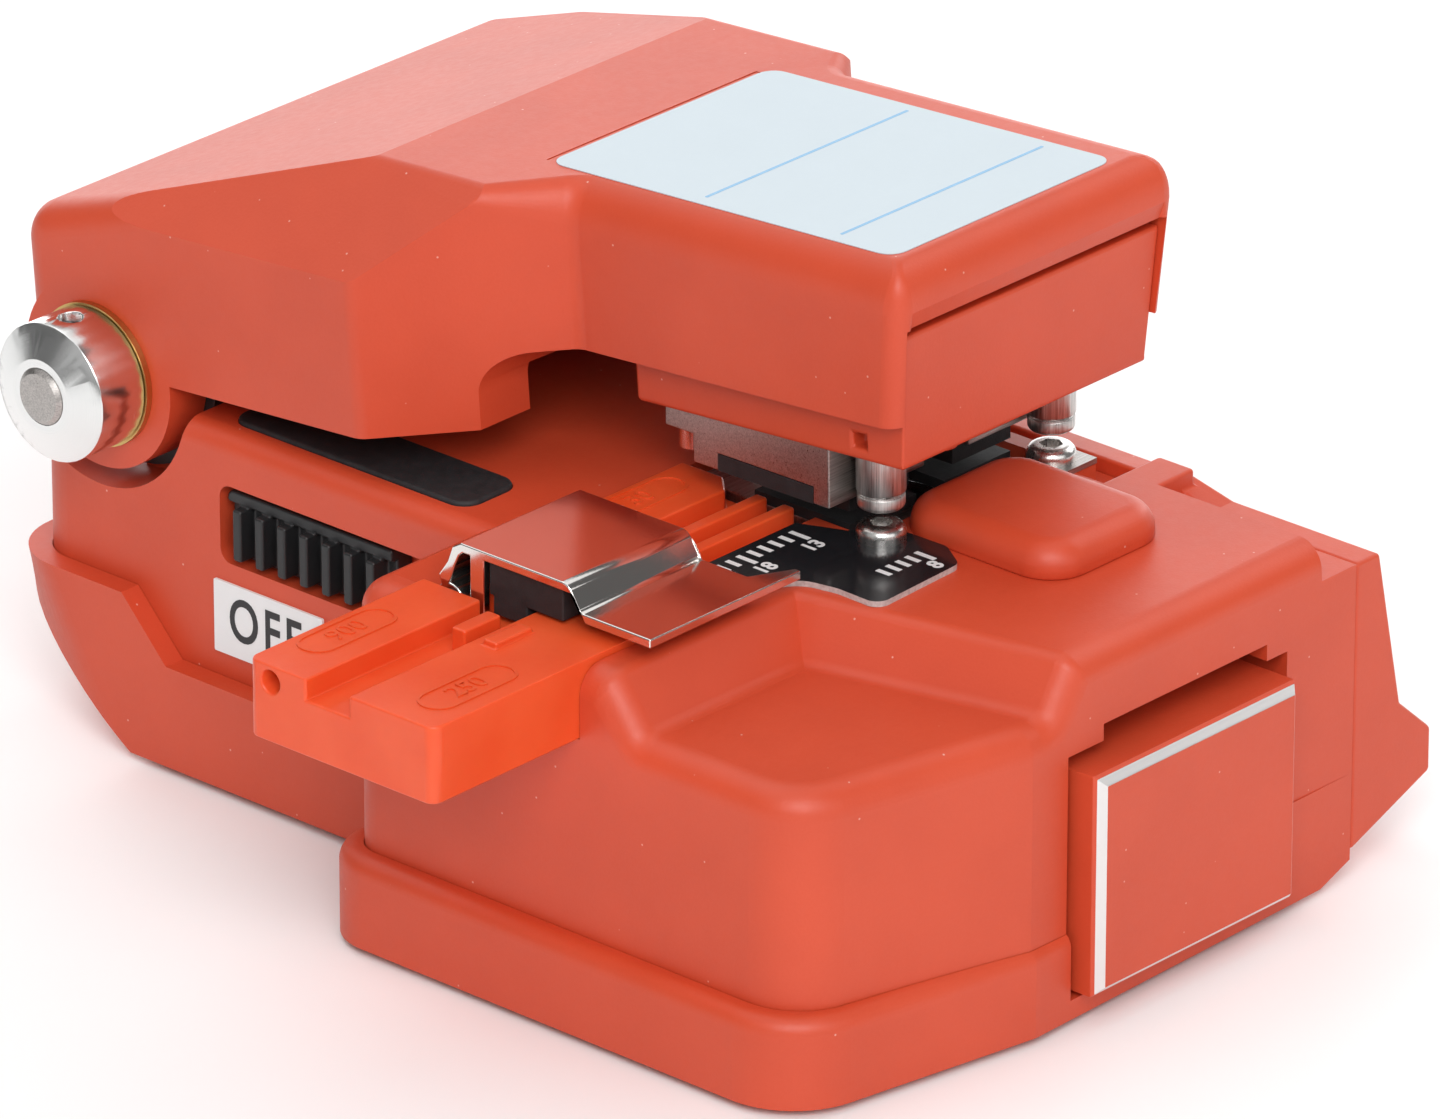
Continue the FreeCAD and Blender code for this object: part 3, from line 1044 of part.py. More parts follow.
label = new_body("lid_label")
pad(label, "XY", roof - s.label_deep, roof - 0.05,
    rect(-s.label_half + s.slip_fit, s.label_half - s.slip_fit,
         -s.label_front + s.slip_fit, s.label_back - s.slip_fit))
tip(label, s.lid_pitch)
node(label)

block = new_body("clamp_block")
pad(block, "XY", block_low, block_top, rect(-block_half, block_half, -s.box_front + 0.3, 8))
pad(block, "XY", block_low - 0.5, block_low, disc(-block_half + 6.0, -s.box_front + 2.2, 2.6))
pocket(block, "YZ", -block_half - 1, -block_half + 1.5,
       rect(-s.box_front + 3.4, -s.box_front + 4.6, block_low + 0.7, block_low + 1.6))
tip(block, s.lid_pitch)
node(block)

# Upper clamps, pads, anvil and stop posts, drawn with the lid at its closed place
for side, name in ((-1, "left"), (1, "right")):
    near = s.blade_x + side * s.clamp_inset
    away = s.blade_x + side * (s.clamp_inset + s.clamp_long)
    inner = s.blade_x + side * (s.slot_half + s.jaw_long)
    ends = (near, away) if side > 0 else (away, near)
    clamp = new_body("upper_clamp_" + name)
    pad(clamp, "YZ", *ends, [
        (s.clamp_back, clamp_low + 2.0), (s.clamp_back - 2.5, clamp_low + 2.0),
        (s.clamp_back - 2.5, clamp_low), (s.pad_back, clamp_low), (s.pad_back, clamp_low + s.pad_sunk),
        (-s.pad_front, clamp_low + s.pad_sunk),
        (-s.pad_front, clamp_low), (-clamp_front, clamp_low), (-clamp_front, block_under(-clamp_front)),
        (s.clamp_back, block_under(s.clamp_back))])
    tip(clamp, s.lid_ajar)
    node(clamp)
    cushion = new_body("upper_pad_" + name)
    pad(cushion, "XZ", -s.pad_front, s.pad_back, [
        (away, clamp_low), (away, clamp_low + s.pad_sunk), (near, clamp_low + s.pad_sunk),
        (near, fibre_z + s.pad_gap), (inner, fibre_z + s.pad_gap), (inner, clamp_low)])
    tip(cushion, s.lid_ajar)
    node(cushion)

anvil = new_body("anvil")
pad(anvil, "YZ", s.blade_x - 0.7, s.blade_x + 0.7, [
    (4, fibre_z + 1.0), (4, block_under(4)), (-4, block_under(-4)), (-4, fibre_z + 1.0)])
tip(anvil, s.lid_ajar)
node(anvil)

posts = []
pins = []
post_low = plate_top + s.stop_head + s.post_gap
for name, x in (("left", stop_left), ("right", stop_right)):
    post = new_body("stop_post_" + name)
    pad(post, "XY", post_low, post_low + s.post_foot, disc(x, -s.stop_y, s.post_dia * 0.96))
    round_edges(post, s.post_foot * 0.35, on(z=post_low))
    pad(post, "XY", post_low + s.post_foot, post_low + s.post_foot * 1.2,
        disc(x, -s.stop_y, s.post_dia * 0.88))
    pad(post, "XY", post_low + s.post_foot * 1.2, block_under(-s.stop_y + s.post_dia / 2),
        disc(x, -s.stop_y, s.post_dia))
    tip(post, s.lid_ajar)
    posts.append(post)
for name, side in (("left", -1), ("right", 1)):
    x = s.blade_x + side * (s.clamp_inset + s.clamp_long - 1.3)
    stud = new_body("clamp_pin_" + name)
    pad(stud, "XY", clamp_low + 0.5, clamp_low + 2.0, disc(x, s.clamp_back - 1.3, 1.8))
    tip(stud, s.lid_ajar)
    pins.append(stud)
node(group("stop_posts", posts))
node(group("clamp_pins", pins))

# Lock slide in the left wall
lock = new_body("lock_slide")
lock_floor = -s.rear_half + s.lock_deep
lock_end = s.lock_back - s.move_gap
lock_face = lock_floor - 2 * s.slip_fit - s.lock_thick
pad(lock, "YZ", lock_face, lock_floor - 2 * s.slip_fit,
    rect(lock_end - s.lock_long, lock_end, s.lock_low + s.move_gap, s.lock_high - s.move_gap))
pad(lock, "YZ", -s.rear_half - 0.5, lock_face,
    *[rect(lock_end - s.lock_margin - s.lock_step * k - s.lock_rib,
           lock_end - s.lock_margin - s.lock_step * k,
           s.lock_low + s.move_gap + 0.2, s.lock_high - s.move_gap - s.lock_lip) for k in range(7)])
pad(lock, "YZ", -s.rear_half + 0.3, lock_face,
    rect(lock_end - s.lock_long, lock_end, s.lock_high - s.move_gap - s.lock_lip, s.lock_high - s.move_gap))
round_edges(lock, s.lock_round - s.move_gap, on(y=lock_end, z=s.lock_low + s.move_gap),
            on(y=lock_end, z=s.lock_high - s.move_gap))
node(lock)


def coil(label, centre, axis, radius, wire, pitch, turns):
    """A round-wire coil along a given axis."""
    helix = Part.makeHelix(pitch, pitch * turns, radius)
    ring = Part.Wire(Part.makeCircle(wire / 2, Vector(radius, 0, 0), Vector(0, 1, 0)))
    shape = Part.Wire(helix).makePipeShell([ring], True, True)
    spring = doc.addObject("Part::Feature", label)
    spring.Label = label
    spring.Shape = shape
    spring.Placement = FreeCAD.Placement(centre, FreeCAD.Rotation(Vector(0, 0, 1), axis))
    return node(spring)


# Springs: one lifts the lid, one brings the slider back
coil("lid_spring", Vector(-3.3, s.hinge_y.value, hinge_z.value), Vector(1, 0, 0),
     s.shaft_dia.value / 2 + 0.85, 0.6, 1.1, 6)
spring_long = s.tunnel_end.value - s.carriage_end.value
coil("return_spring", Vector(-s.tunnel_x.value - 4.2, s.carriage_end.value + 0.45, 8.0), Vector(0, 1, 0),
     2.0, 0.6, (spring_long - 0.9) / 8, 8)

doc.recompute()
faults = [thing.Name for thing in doc.Objects if "Invalid" in thing.State or "Error" in thing.State]
for piece in nodes:
    if piece.Shape.isNull() or not piece.Shape.isValid() or piece.Shape.Volume <= 0:
        faults.append(piece.Label)
if faults:
    raise RuntimeError("not built: " + ", ".join(faults))
for piece in nodes:
    piece.Shape.exportStep("parts/%s.step" % piece.Label)
    print(piece.Label, len(piece.Shape.Solids), round(piece.Shape.Volume, 1))
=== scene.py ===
"""Looks of a bench-top optical fibre cleaver: finishes, reshaped pieces, marks, studio and camera.

The scene is in metres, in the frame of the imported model: +X along the fibre, +Y to the lid's hinge, +Z up.
Sizes of the reshaped pieces, the marks and the washers are given in millimetres.
"""
import json
import math

import bpy
from mathutils import Matrix, Vector


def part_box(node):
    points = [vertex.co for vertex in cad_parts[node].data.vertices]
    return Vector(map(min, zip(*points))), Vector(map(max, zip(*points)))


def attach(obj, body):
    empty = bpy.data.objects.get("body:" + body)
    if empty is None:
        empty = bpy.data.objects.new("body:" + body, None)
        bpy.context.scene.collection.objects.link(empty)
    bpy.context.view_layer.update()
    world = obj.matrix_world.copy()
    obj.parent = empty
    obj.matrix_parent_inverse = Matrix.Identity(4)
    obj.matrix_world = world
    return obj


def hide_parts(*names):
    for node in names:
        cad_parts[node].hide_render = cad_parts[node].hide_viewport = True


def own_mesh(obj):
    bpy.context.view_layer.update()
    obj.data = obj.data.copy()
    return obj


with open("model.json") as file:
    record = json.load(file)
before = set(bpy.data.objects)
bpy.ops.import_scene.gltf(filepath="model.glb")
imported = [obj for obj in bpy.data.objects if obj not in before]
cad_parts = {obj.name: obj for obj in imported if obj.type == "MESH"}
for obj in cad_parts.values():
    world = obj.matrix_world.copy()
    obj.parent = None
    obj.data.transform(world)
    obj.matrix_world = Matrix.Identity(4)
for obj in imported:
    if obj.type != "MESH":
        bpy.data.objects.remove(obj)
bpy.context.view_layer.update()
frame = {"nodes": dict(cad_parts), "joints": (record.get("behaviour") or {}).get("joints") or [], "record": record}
nodes = frame["nodes"]
MM = 0.001

# Node tree helpers


class Recipe:
    """A material whose nodes are added by name and linked as they are made."""

    def __init__(self, name):
        self.material = bpy.data.materials.new(name)
        self.material.use_nodes = True
        self.tree = self.material.node_tree
        self.shader = self.tree.nodes["Principled BSDF"]
        self.place = self.add("ShaderNodeTexCoord").outputs["Object"]

    def add(self, kind, inputs=None, **settings):
        """A new node with its settings and inputs."""
        made = self.tree.nodes.new(kind)
        for key, value in settings.items():
            setattr(made, key, value)
        for key, value in (inputs or {}).items():
            self.feed(made.inputs[key], value)
        return made

    def feed(self, socket, value):
        """Links a socket to the input, or sets a constant on it."""
        if isinstance(value, bpy.types.NodeSocket):
            self.tree.links.new(value, socket)
        else:
            socket.default_value = value

    def set(self, **values):
        """Feeds inputs of the surface shader, with underscores for the spaces in their names."""
        for key, value in values.items():
            self.feed(self.shader.inputs[key.replace("_", " ")], value)

    def mapped(self, scale=(1, 1, 1), move=(0, 0, 0), turn=(0, 0, 0)):
        """Object coordinates that are scaled, moved and turned."""
        return self.add("ShaderNodeMapping", {
            "Vector": self.place, "Scale": scale, "Location": move, "Rotation": turn}).outputs["Vector"]

    def noise(self, grain_mm, detail=2.0, roughness=0.5, where=None):
        """Noise whose blobs are about grain_mm across."""
        return self.add("ShaderNodeTexNoise", {
            "Vector": where or self.place, "Scale": 1 / (grain_mm * MM), "Detail": detail,
            "Roughness": roughness}).outputs["Fac"]

    def ramp(self, source, *stops):
        """A ramp through (position, grey or colour) stops."""
        made = self.add("ShaderNodeValToRGB", {"Fac": source})
        points = made.color_ramp.elements
        while len(points) < len(stops):
            points.new(0.5)
        for point, (position, shade) in zip(points, stops):
            point.position = position
            point.color = shade_of(shade)
        return made.outputs["Color"]

    def mix(self, amount, first, second):
        """Colour between two colours, each a socket or a constant."""
        made = self.add("ShaderNodeMix", data_type="RGBA")
        factor, first_colour, second_colour, mixed = 0, 6, 7, 2
        self.feed(made.inputs[factor], amount)
        for place, colour in ((first_colour, first), (second_colour, second)):
            linked = isinstance(colour, bpy.types.NodeSocket)
            self.feed(made.inputs[place], colour if linked else shade_of(colour))
        return made.outputs[mixed]

    def span(self, source, low, high):
        """Source from 0..1 to low..high."""
        return self.add("ShaderNodeMapRange", {
            "Value": source, "To Min": low, "To Max": high}).outputs["Result"]

    def maths(self, operation, first, second=0.0):
        """Result of one operation on two values."""
        made = self.add("ShaderNodeMath", operation=operation)
        self.feed(made.inputs[0], first)
        self.feed(made.inputs[1], second)
        return made.outputs["Value"]

    def bump(self, height, depth_mm, strength=1.0, under=None):
        """Normal of a surface that a height map roughens, over another bump if one is given."""
        made = self.add("ShaderNodeBump", {
            "Height": height, "Distance": depth_mm * MM, "Strength": strength})
        if under is not None:
            self.feed(made.inputs["Normal"], under)
        return made.outputs["Normal"]


def shade_of(shade):
    """Colour with alpha from a grey or a colour."""
    if isinstance(shade, (int, float)):
        return (shade, shade, shade, 1.0)
    return (*shade, 1.0)


def tint(colour, strength):
    """A darker or lighter colour."""
    return tuple(min(1.0, c * strength) for c in colour)


# Finishes


def facing(r, axis):
    """How far a face looks along an axis."""
    normal = r.add("ShaderNodeNewGeometry").outputs["True Normal"]
    return r.add("ShaderNodeSeparateXYZ", {"Vector": normal}).outputs[axis]


def cut_edges(r):
    """Mask of the slider cap's slanted front edges, which are cut back to the bare metal."""
    to_front = r.maths("MULTIPLY", facing(r, "Y"), -1.0)
    slanted = r.ramp(to_front, (0.38, 0.0), (0.42, 1.0), (0.90, 1.0), (0.94, 0.0))
    depth = r.add("ShaderNodeSeparateXYZ", {"Vector": r.place}).outputs["Y"]
    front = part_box("slider_cap")[0][1]
    cut_depth = 0.50 * MM
    return r.maths("MULTIPLY", slanted, r.maths("LESS_THAN", depth, front + cut_depth))


def sheared_sides(r):
    """Mask of a thin plate's cut sides."""
    return r.ramp(r.maths("ABSOLUTE", facing(r, "Z")), (0.45, 1.0), (0.75, 0.0))


def paint(name, colour, deep, pale, bare=None):
    """Matte soft paint: fine grain, slow tone changes and a few pale dust specks."""
    r = Recipe(name)
    tone = r.ramp(r.noise(9.0, 3.0), (0.35, deep), (0.65, colour))
    grain = r.noise(0.22, 3.0, 0.6)
    tone = r.mix(r.span(grain, 0.0, 0.16), tone, pale)
    speck_apart = 2.2 * MM
    cells = r.add("ShaderNodeTexVoronoi", {"Vector": r.place, "Scale": 1 / speck_apart})
    speck = r.ramp(cells.outputs["Distance"], (0.024, 1.0), (0.042, 0.0))
    tone = r.mix(r.maths("MULTIPLY", speck, 0.45), tone, (0.85, 0.66, 0.58))
    if bare:
        mask = bare(r)
        tone = r.mix(mask, tone, (0.80, 0.79, 0.78))
        r.set(Metallic=mask)
    r.set(Base_Color=tone, Roughness=r.span(r.noise(0.6, 2.0), 0.40, 0.52), Specular_IOR_Level=0.5)
    wave = r.bump(r.noise(3.5, 1.0), 0.012)
    r.set(Normal=r.bump(grain, 0.012, 0.8, wave))
    return r.material


def plastic(name, colour, pale, rough, glow=0.0):
    """Moulded plastic with a faint skin texture."""
    r = Recipe(name)
    tone = r.ramp(r.noise(5.0, 2.0), (0.3, colour), (0.75, pale))
    r.set(Base_Color=tone, Roughness=r.span(r.noise(0.5, 2.0), rough - 0.06, rough + 0.08))
    if glow:
        r.set(Subsurface_Weight=glow, Subsurface_Radius=(0.002, 0.0006, 0.0003), Subsurface_Scale=0.5)
    r.set(Normal=r.bump(r.noise(0.3, 2.0), 0.006))
    return r.material


def rubber(name, colour):
    """Matte rubber with a fine rough skin."""
    r = Recipe(name)
    tone = r.ramp(r.noise(0.8, 3.0), (0.3, colour), (0.8, tint(colour, 1.9)))
    r.set(Base_Color=tone, Roughness=r.span(r.noise(0.4, 2.0), 0.55, 0.75))
    r.set(Normal=r.bump(r.noise(0.18, 3.0), 0.02))
    return r.material


def brushed(name, colour, along, rough):
    """Ground metal with straight fine scratches along one axis."""
    r = Recipe(name)
    across, lengthways = 9.0, 0.25
    stretch = [lengthways if axis == along else across for axis in "xyz"]
    streaks = r.noise(1.0, 4.0, 0.7, r.mapped(stretch))
    cloud = r.noise(2.5, 2.0)
    lines = r.ramp(streaks, (0.32, 0.0), (0.68, 1.0))
    tone = r.mix(lines, tint(colour, 0.62), tint(colour, 1.25))
    tone = r.mix(r.span(cloud, 0.0, 0.2), tone, tint(colour, 0.55))
    r.set(Base_Color=tone, Metallic=1.0, Roughness=r.span(lines, rough - 0.07, rough + 0.12))
    r.set(Normal=r.bump(lines, 0.006))
    return r.material


def turned(name, colour, centre, rough):
    """Lathe-turned metal: fine rings about an axis along X through the centre."""
    r = Recipe(name)
    where = r.mapped(move=tuple(-c for c in centre))
    apart = r.add("ShaderNodeSeparateXYZ", {"Vector": where})
    flat = r.add("ShaderNodeCombineXYZ", {"Y": apart.outputs["Y"], "Z": apart.outputs["Z"]})
    radius = r.add("ShaderNodeVectorMath", {0: flat.outputs["Vector"]}, operation="LENGTH").outputs["Value"]
    ring_apart = 0.10 * MM
    rings = r.add("ShaderNodeTexNoise", {
        "W": r.maths("ADD", radius, apart.outputs["X"]), "Scale": 1 / ring_apart, "Detail": 3.0},
        noise_dimensions="1D").outputs["Fac"]
    haze = r.noise(1.6, 3.0)
    tone = r.mix(r.span(rings, 0.0, 0.5), colour, tint(colour, 0.78))
    roughness = r.maths("ADD", r.span(rings, rough - 0.05, rough + 0.06), r.span(haze, -0.03, 0.05))
    r.set(Base_Color=tone, Metallic=1.0, Roughness=roughness)
    r.set(Normal=r.bump(rings, 0.004))
    return r.material


def plated(name, colour, rough):
    """Bright plated sheet with faint ripples, hair scratches and tiny pits."""
    r = Recipe(name)
    ripple = r.noise(4.5, 1.0)
    hair = r.noise(1.0, 3.0, 0.7, r.mapped((0.5, 9.0, 9.0), turn=(0, 0, 0.5)))
    pits = r.noise(0.25, 2.0)
    tone = r.mix(r.span(hair, 0.0, 0.25), colour, tint(colour, 0.8))
    r.set(Base_Color=tone, Metallic=1.0, Roughness=r.span(pits, rough - 0.04, rough + 0.08))
    r.set(Normal=r.bump(pits, 0.0015, 1.0, r.bump(ripple, 0.02)))
    return r.material


def lacquer(name, colour, rough, bare=None):
    """Gloss lacquer with faint dust and wipe marks."""
    r = Recipe(name)
    wipes = r.noise(1.4, 3.0, 0.6, r.mapped((1.0, 4.0, 1.0)))
    tone = r.mix(r.span(wipes, 0.0, 0.25), colour, tuple(c + 0.02 for c in colour))
    if bare:
        worn = r.mix(r.noise(0.3, 3.0), (0.28, 0.22, 0.21), (0.72, 0.66, 0.64))
        tone = r.mix(bare(r), tone, worn)
    r.set(Base_Color=tone, Roughness=r.span(wipes, rough - 0.05, rough + 0.1))
    r.set(Normal=r.bump(r.noise(1.2, 2.0), 0.01))
    return r.material


def film(name, colour, rough):
    """Thin printed film: nearly even colour with a soft sheen."""
    r = Recipe(name)
    cloud = r.noise(4.0, 2.0)
    tone = r.mix(cloud, colour, tint(colour, 0.97))
    r.set(Base_Color=tone, Roughness=r.span(r.noise(0.5, 2.0), rough - 0.05, rough + 0.05))
    r.set(Normal=r.bump(r.noise(1.5, 1.0), 0.004))
    return r.material


JOINTS = {joint["name"]: joint for joint in frame["joints"]}
HINGE = Vector(JOINTS["lid_hinge"]["pos_m"])
BLADE = Vector(JOINTS["blade_turn"]["pos_m"])
# The paint's colour, its deeper tone and its pale grain
PAINT = ((0.60, 0.064, 0.021), (0.56, 0.057, 0.018), (0.70, 0.12, 0.06))
ORANGE = (0.76, 0.076, 0.015)
FINISH = {
    "body_paint": paint("body_paint", *PAINT),
    "adapter_orange": plastic("adapter_orange", ORANGE, (0.82, 0.10, 0.026), 0.38, 0.25),
    "nickel_sheet": plated("nickel_sheet", (0.80, 0.77, 0.74), 0.14),
    "ground_steel": brushed("ground_steel", (0.50, 0.47, 0.45), "x", 0.34),
    "bright_steel": turned("bright_steel", (0.86, 0.86, 0.85), HINGE, 0.22),
    "blade_steel": turned("blade_steel", (0.46, 0.47, 0.49), BLADE, 0.22),
    "carriage_alloy": brushed("carriage_alloy", (0.40, 0.40, 0.41), "y", 0.42),
    "washer_brass": turned("washer_brass", (0.62, 0.42, 0.16), HINGE, 0.30),
    "spring_wire": brushed("spring_wire", (0.52, 0.52, 0.52), "x", 0.28),
    "black_rubber": rubber("black_rubber", (0.012, 0.012, 0.013)),
    "black_plastic": plastic("black_plastic", (0.011, 0.011, 0.012), (0.016, 0.016, 0.017), 0.44),
    "scale_black": lacquer("scale_black", (0.010, 0.010, 0.012), 0.14, sheared_sides),
    "label_film": film("label_film", (0.54, 0.62, 0.67), 0.50),
}
PRINT_WHITE = film("print_white", (0.78, 0.78, 0.78), 0.45)
PRINT_BLACK = film("print_black", (0.012, 0.012, 0.014), 0.40)
PRINT_BLUE = film("print_blue", (0.13, 0.37, 0.62), 0.35)
OWN_FINISH = {
    "slider_cap": paint("cap_paint", *PAINT, cut_edges),
    "stop_screws": plated("screw_steel", (0.70, 0.68, 0.66), 0.26),
    "stop_posts": brushed("post_steel", (0.66, 0.64, 0.62), "z", 0.34),
    # Set screws in the collars: black-oxide steel, made very dark also as painted shade for the holes they sit in
    "collar_screws": brushed("dark_screw", (0.030, 0.030, 0.032), "z", 0.45),
    "lid_label": FINISH["body_paint"],
}


def soften(thing, width_mm):
    """Rounds the sharp edges of a piece a little."""
    weld = thing.modifiers.new("weld", "WELD")
    weld.merge_threshold = 1e-6
    flat = thing.modifiers.new("flat", "DECIMATE")
    flat.decimate_type = "DISSOLVE"
    flat.angle_limit = math.radians(0.3)
    bevel = thing.modifiers.new("edge", "BEVEL")
    bevel.width = width_mm * MM
    bevel.segments = 2
    bevel.limit_method = "ANGLE"
    bevel.angle_limit = math.radians(32)
    bevel.use_clamp_overlap = False
    bevel.harden_normals = True


# Width of the rounding on each node, in millimetres
EDGE = {
    "slider_cap": 0.06, "clamp_block": 0.30, "blade_cover": 0.15, "collector_bin": 0.25,
    "adapter_plate": 0.18, "clamp_leaf": 0.12, "lock_slide": 0.20, "deck_strip": 0.15,
    "upper_clamp_left": 0.12, "upper_clamp_right": 0.12, "lower_jaw_left": 0.12, "lower_jaw_right": 0.12,
    "leaf_pad": 0.15, "stop_posts": 0.10, "shaft_collars": 0.08,
}
for row in frame["record"]["subparts"]:
    thing = nodes[row["node"]]
    thing.data.materials.clear()
    thing.data.materials.append(OWN_FINISH.get(row["node"], FINISH[row["material_slot"]]))
    if row["node"] in EDGE:
        soften(thing, EDGE[row["node"]])

# Makers of pieces: flat ones are drawn in millimetres and carried to their place


def mark(name, points, faces, place, material, body, slot):
    """One thin piece: its points in millimetres on the plane that place carries to the model."""
    mesh = bpy.data.meshes.new(name)
    mesh.from_pydata([place @ (Vector(p) * MM) for p in points], [], faces)
    mesh.materials.append(material)
    return settle(name, mesh, body)


def settle(name, mesh, body):
    """An object for a mesh, riding on a body."""
    thing = bpy.data.objects.new(name, mesh)
    bpy.context.scene.collection.objects.link(thing)
    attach(thing, body)
    return thing


def rounded(left, right, low, high, radius, steps=6):
    """Points round a rectangle with rounded corners."""
    corners = ((right - radius, high - radius, 0), (left + radius, high - radius, 90),
               (left + radius, low + radius, 180), (right - radius, low + radius, 270))
    points = []
    for x, y, first in corners:
        for k in range(steps + 1):
            angle = math.radians(first + 90 * k / steps)
            points.append((x + radius * math.cos(angle), y + radius * math.sin(angle)))
    return points


def slab(outline, low, high):
    """Points and faces of a plate with the given outline."""
    count = len(outline)
    points = [(x, y, z) for z in (low, high) for x, y in outline]
    sides = [(k, (k + 1) % count, count + (k + 1) % count, count + k) for k in range(count)]
    return points, [tuple(reversed(range(count))), tuple(range(count, 2 * count)), *sides]


def band(outer, inner, low, high):
    """Points and faces of a plate between two outlines of the same count."""
    count = len(outer)
    points = [(x, y, z) for z in (low, high) for outline in (outer, inner) for x, y in outline]
    faces = []
    for k in range(count):
        following = (k + 1) % count
        out_low, in_low, out_high, in_high = (
            (start + k, start + following) for start in (0, count, 2 * count, 3 * count))
        walls = ((out_high, in_high), (in_low, out_low), (out_low, out_high), (in_high, in_low))
        faces += [(first[0], first[1], second[1], second[0]) for first, second in walls]
    return points, faces


def several(plates):
    """Joins the points and faces of many plates into one."""
    points, faces = [], []
    for some_points, some_faces in plates:
        faces += [tuple(len(points) + k for k in face) for face in some_faces]
        points += some_points
    return points, faces


# Height of a capital letter as a share of the letters' size
CAPITAL_SHARE = 0.70


def words(name, text, tall, place, material, body, thick=0.02, bold=0.0, narrow=1.0, spread=1.0):
    """Letters of the built-in face, centred on the place, tall millimetres high."""
    curve = bpy.data.curves.new(name, "FONT")
    curve.body = text
    curve.size = tall / CAPITAL_SHARE * MM
    curve.extrude = thick * MM
    curve.offset = bold * MM
    curve.space_character = spread
    curve.resolution_u = 6
    curve.align_x = "CENTER"
    curve.align_y = "CENTER"
    draft = bpy.data.objects.new(name + "_draft", curve)
    mesh = bpy.data.meshes.new_from_object(draft)
    bpy.data.objects.remove(draft)
    mesh.name = name
    mesh.transform(place @ Matrix.Diagonal((narrow, 1, 1, 1)))
    mesh.materials.clear()
    mesh.materials.append(material)
    return settle(name, mesh, body)


def level_place(x, y, z):
    """Place of a flat mark that lies level."""
    return Matrix.Translation(Vector((x, y, z)) * MM)


def top_of(mesh):
    """Place at the middle of a plate's top: X along the fibre, Y up the slope to the hinge, Z out of it."""
    tops = [face for face in mesh.polygons if face.normal.z > 0.9]
    spots = [mesh.vertices[k].co for face in tops for k in face.vertices]
    middle = (Vector(map(min, *spots)) + Vector(map(max, *spots))) / 2
    out = tops[0].normal.copy()
    across = Vector((1, 0, 0))
    axes = Matrix((across, out.cross(across), out)).transposed().to_4x4()
    return Matrix.Translation(middle) @ axes


# Lid with rounder roof edges, a leaning front and a wider right side than its nodes have
roof_out = top_of(nodes["lid_label"].data).col[2]

# The rules work in millimetres on the lid turned level about its hinge
level = (Matrix.Translation(HINGE) @ Matrix.Rotation(math.atan2(roof_out.y, roof_out.z), 4, "X")
         @ Matrix.Translation(-HINGE))
level_shell = [level @ point.co / MM for point in nodes["lid_shell"].data.vertices]
roof = max(spot.z for spot in level_shell)
box_front = min(spot.y for spot in level_shell)
box_half = max(spot.x for spot in level_shell if spot.y < 0)

# Rounding of the node's roof edges, and of its upright corners seen from above
edge_round = 1.12
corner_round = 1.4
# How far the larger rounding reaches inwards and down, and the corner radius that it leaves at least
round_in = 2.2
round_down = 3.2
mitre_round = 0.5
# It grows to its full size between these two places, from back to front
round_starts = 16.4
round_ends = 11.0
# The roof falls by this much from its crease to the front
crease = 25.8
roof_fall = 0.70
# What lies ahead of this place leans out, by a share of its height above the block's underside
front_zone = box_front + 1.9
shell_lean = 0.115
block_lean = 0.09
block_low = 29.6
block_top = 39.2
# The block's top comes down, its left side moves in and its underside comes down
block_gap = 0.45
block_side_gap = 0.25
block_drop = 0.80
# The shell's edge above the block: its height, how near a point has to be, and how far it is cut back
brow_low = 39.4
brow_near = 0.1
brow_undercut = 0.35
# The right wall starts at right_zone, turns into the slanted wall from slant_zone on and ends at rear_zone
right_zone = 11.3
slant_zone = 12.8
slant_turn = 1.0
rear_zone = 24.0
# How far the right wall moves out at the block's underside and at its top
wide_low = 1.0
wide_high = 2.15
# Room for rounding errors in the comparisons
slack = 0.02


def share(value, low, high):
    """How far a value is from low to high, from 0 to 1."""
    return min(1.0, max(0.0, (value - low) / (high - low)))


def lean_and_widen(start, x, y, z, lean):
    """Leans the front out, moves the right wall outwards and the slanted wall behind it forwards."""
    if start.y < front_zone:
        y -= lean * max(0.0, z - block_low)
    if start.x > right_zone and start.y < rear_zone:
        wide = wide_low + (wide_high - wide_low) * share(z, block_low, block_top)
        slanted = share(start.y, slant_zone, slant_zone + slant_turn)
        x += wide * (1 - slanted)
        y -= wide * slanted
    return Vector((x, y, z))


def shell_form(start):
    """New place of a point of the lid shell or of the label's plate."""
    x, y, z = start
    depth = roof - z
    side, ahead = box_half - abs(x), y - box_front
    if depth < edge_round + slack:
        at_corner = max(side, ahead) < corner_round + slack
        if at_corner or min(side, ahead) < edge_round + slack:
            growth = share(y, round_starts, round_ends)
            inset = edge_round - math.sqrt(max(0.0, edge_round ** 2 - (edge_round - depth) ** 2))
            new_inset = inset * (1 + growth * (round_in / edge_round - 1))
            z -= growth * depth * (round_down / edge_round - 1)
            if at_corner:
                middle = max(corner_round, new_inset + mitre_round)
                grow = (middle - new_inset) / (corner_round - inset)
                side, ahead = (middle - (corner_round - reach) * grow for reach in (side, ahead))
            elif ahead < side:
                ahead += new_inset - inset
            else:
                side += new_inset - inset
            x, y = math.copysign(box_half - side, x), box_front + ahead
        z -= roof_fall * share(start.y, crease, box_front)
    if abs(z - brow_low) < brow_near and start.y < front_zone and abs(x) < box_half - corner_round:
        y += brow_undercut
    return lean_and_widen(start, x, y, z, shell_lean)


def block_form(start):
    """New place of a point of the clamp block."""
    x, y, z = start
    if z > block_top - slack:
        z -= block_gap
    if x < -right_zone:
        x += block_side_gap
    z -= block_drop * share(z, block_top, block_low)
    return lean_and_widen(start, x, y, z, block_lean)


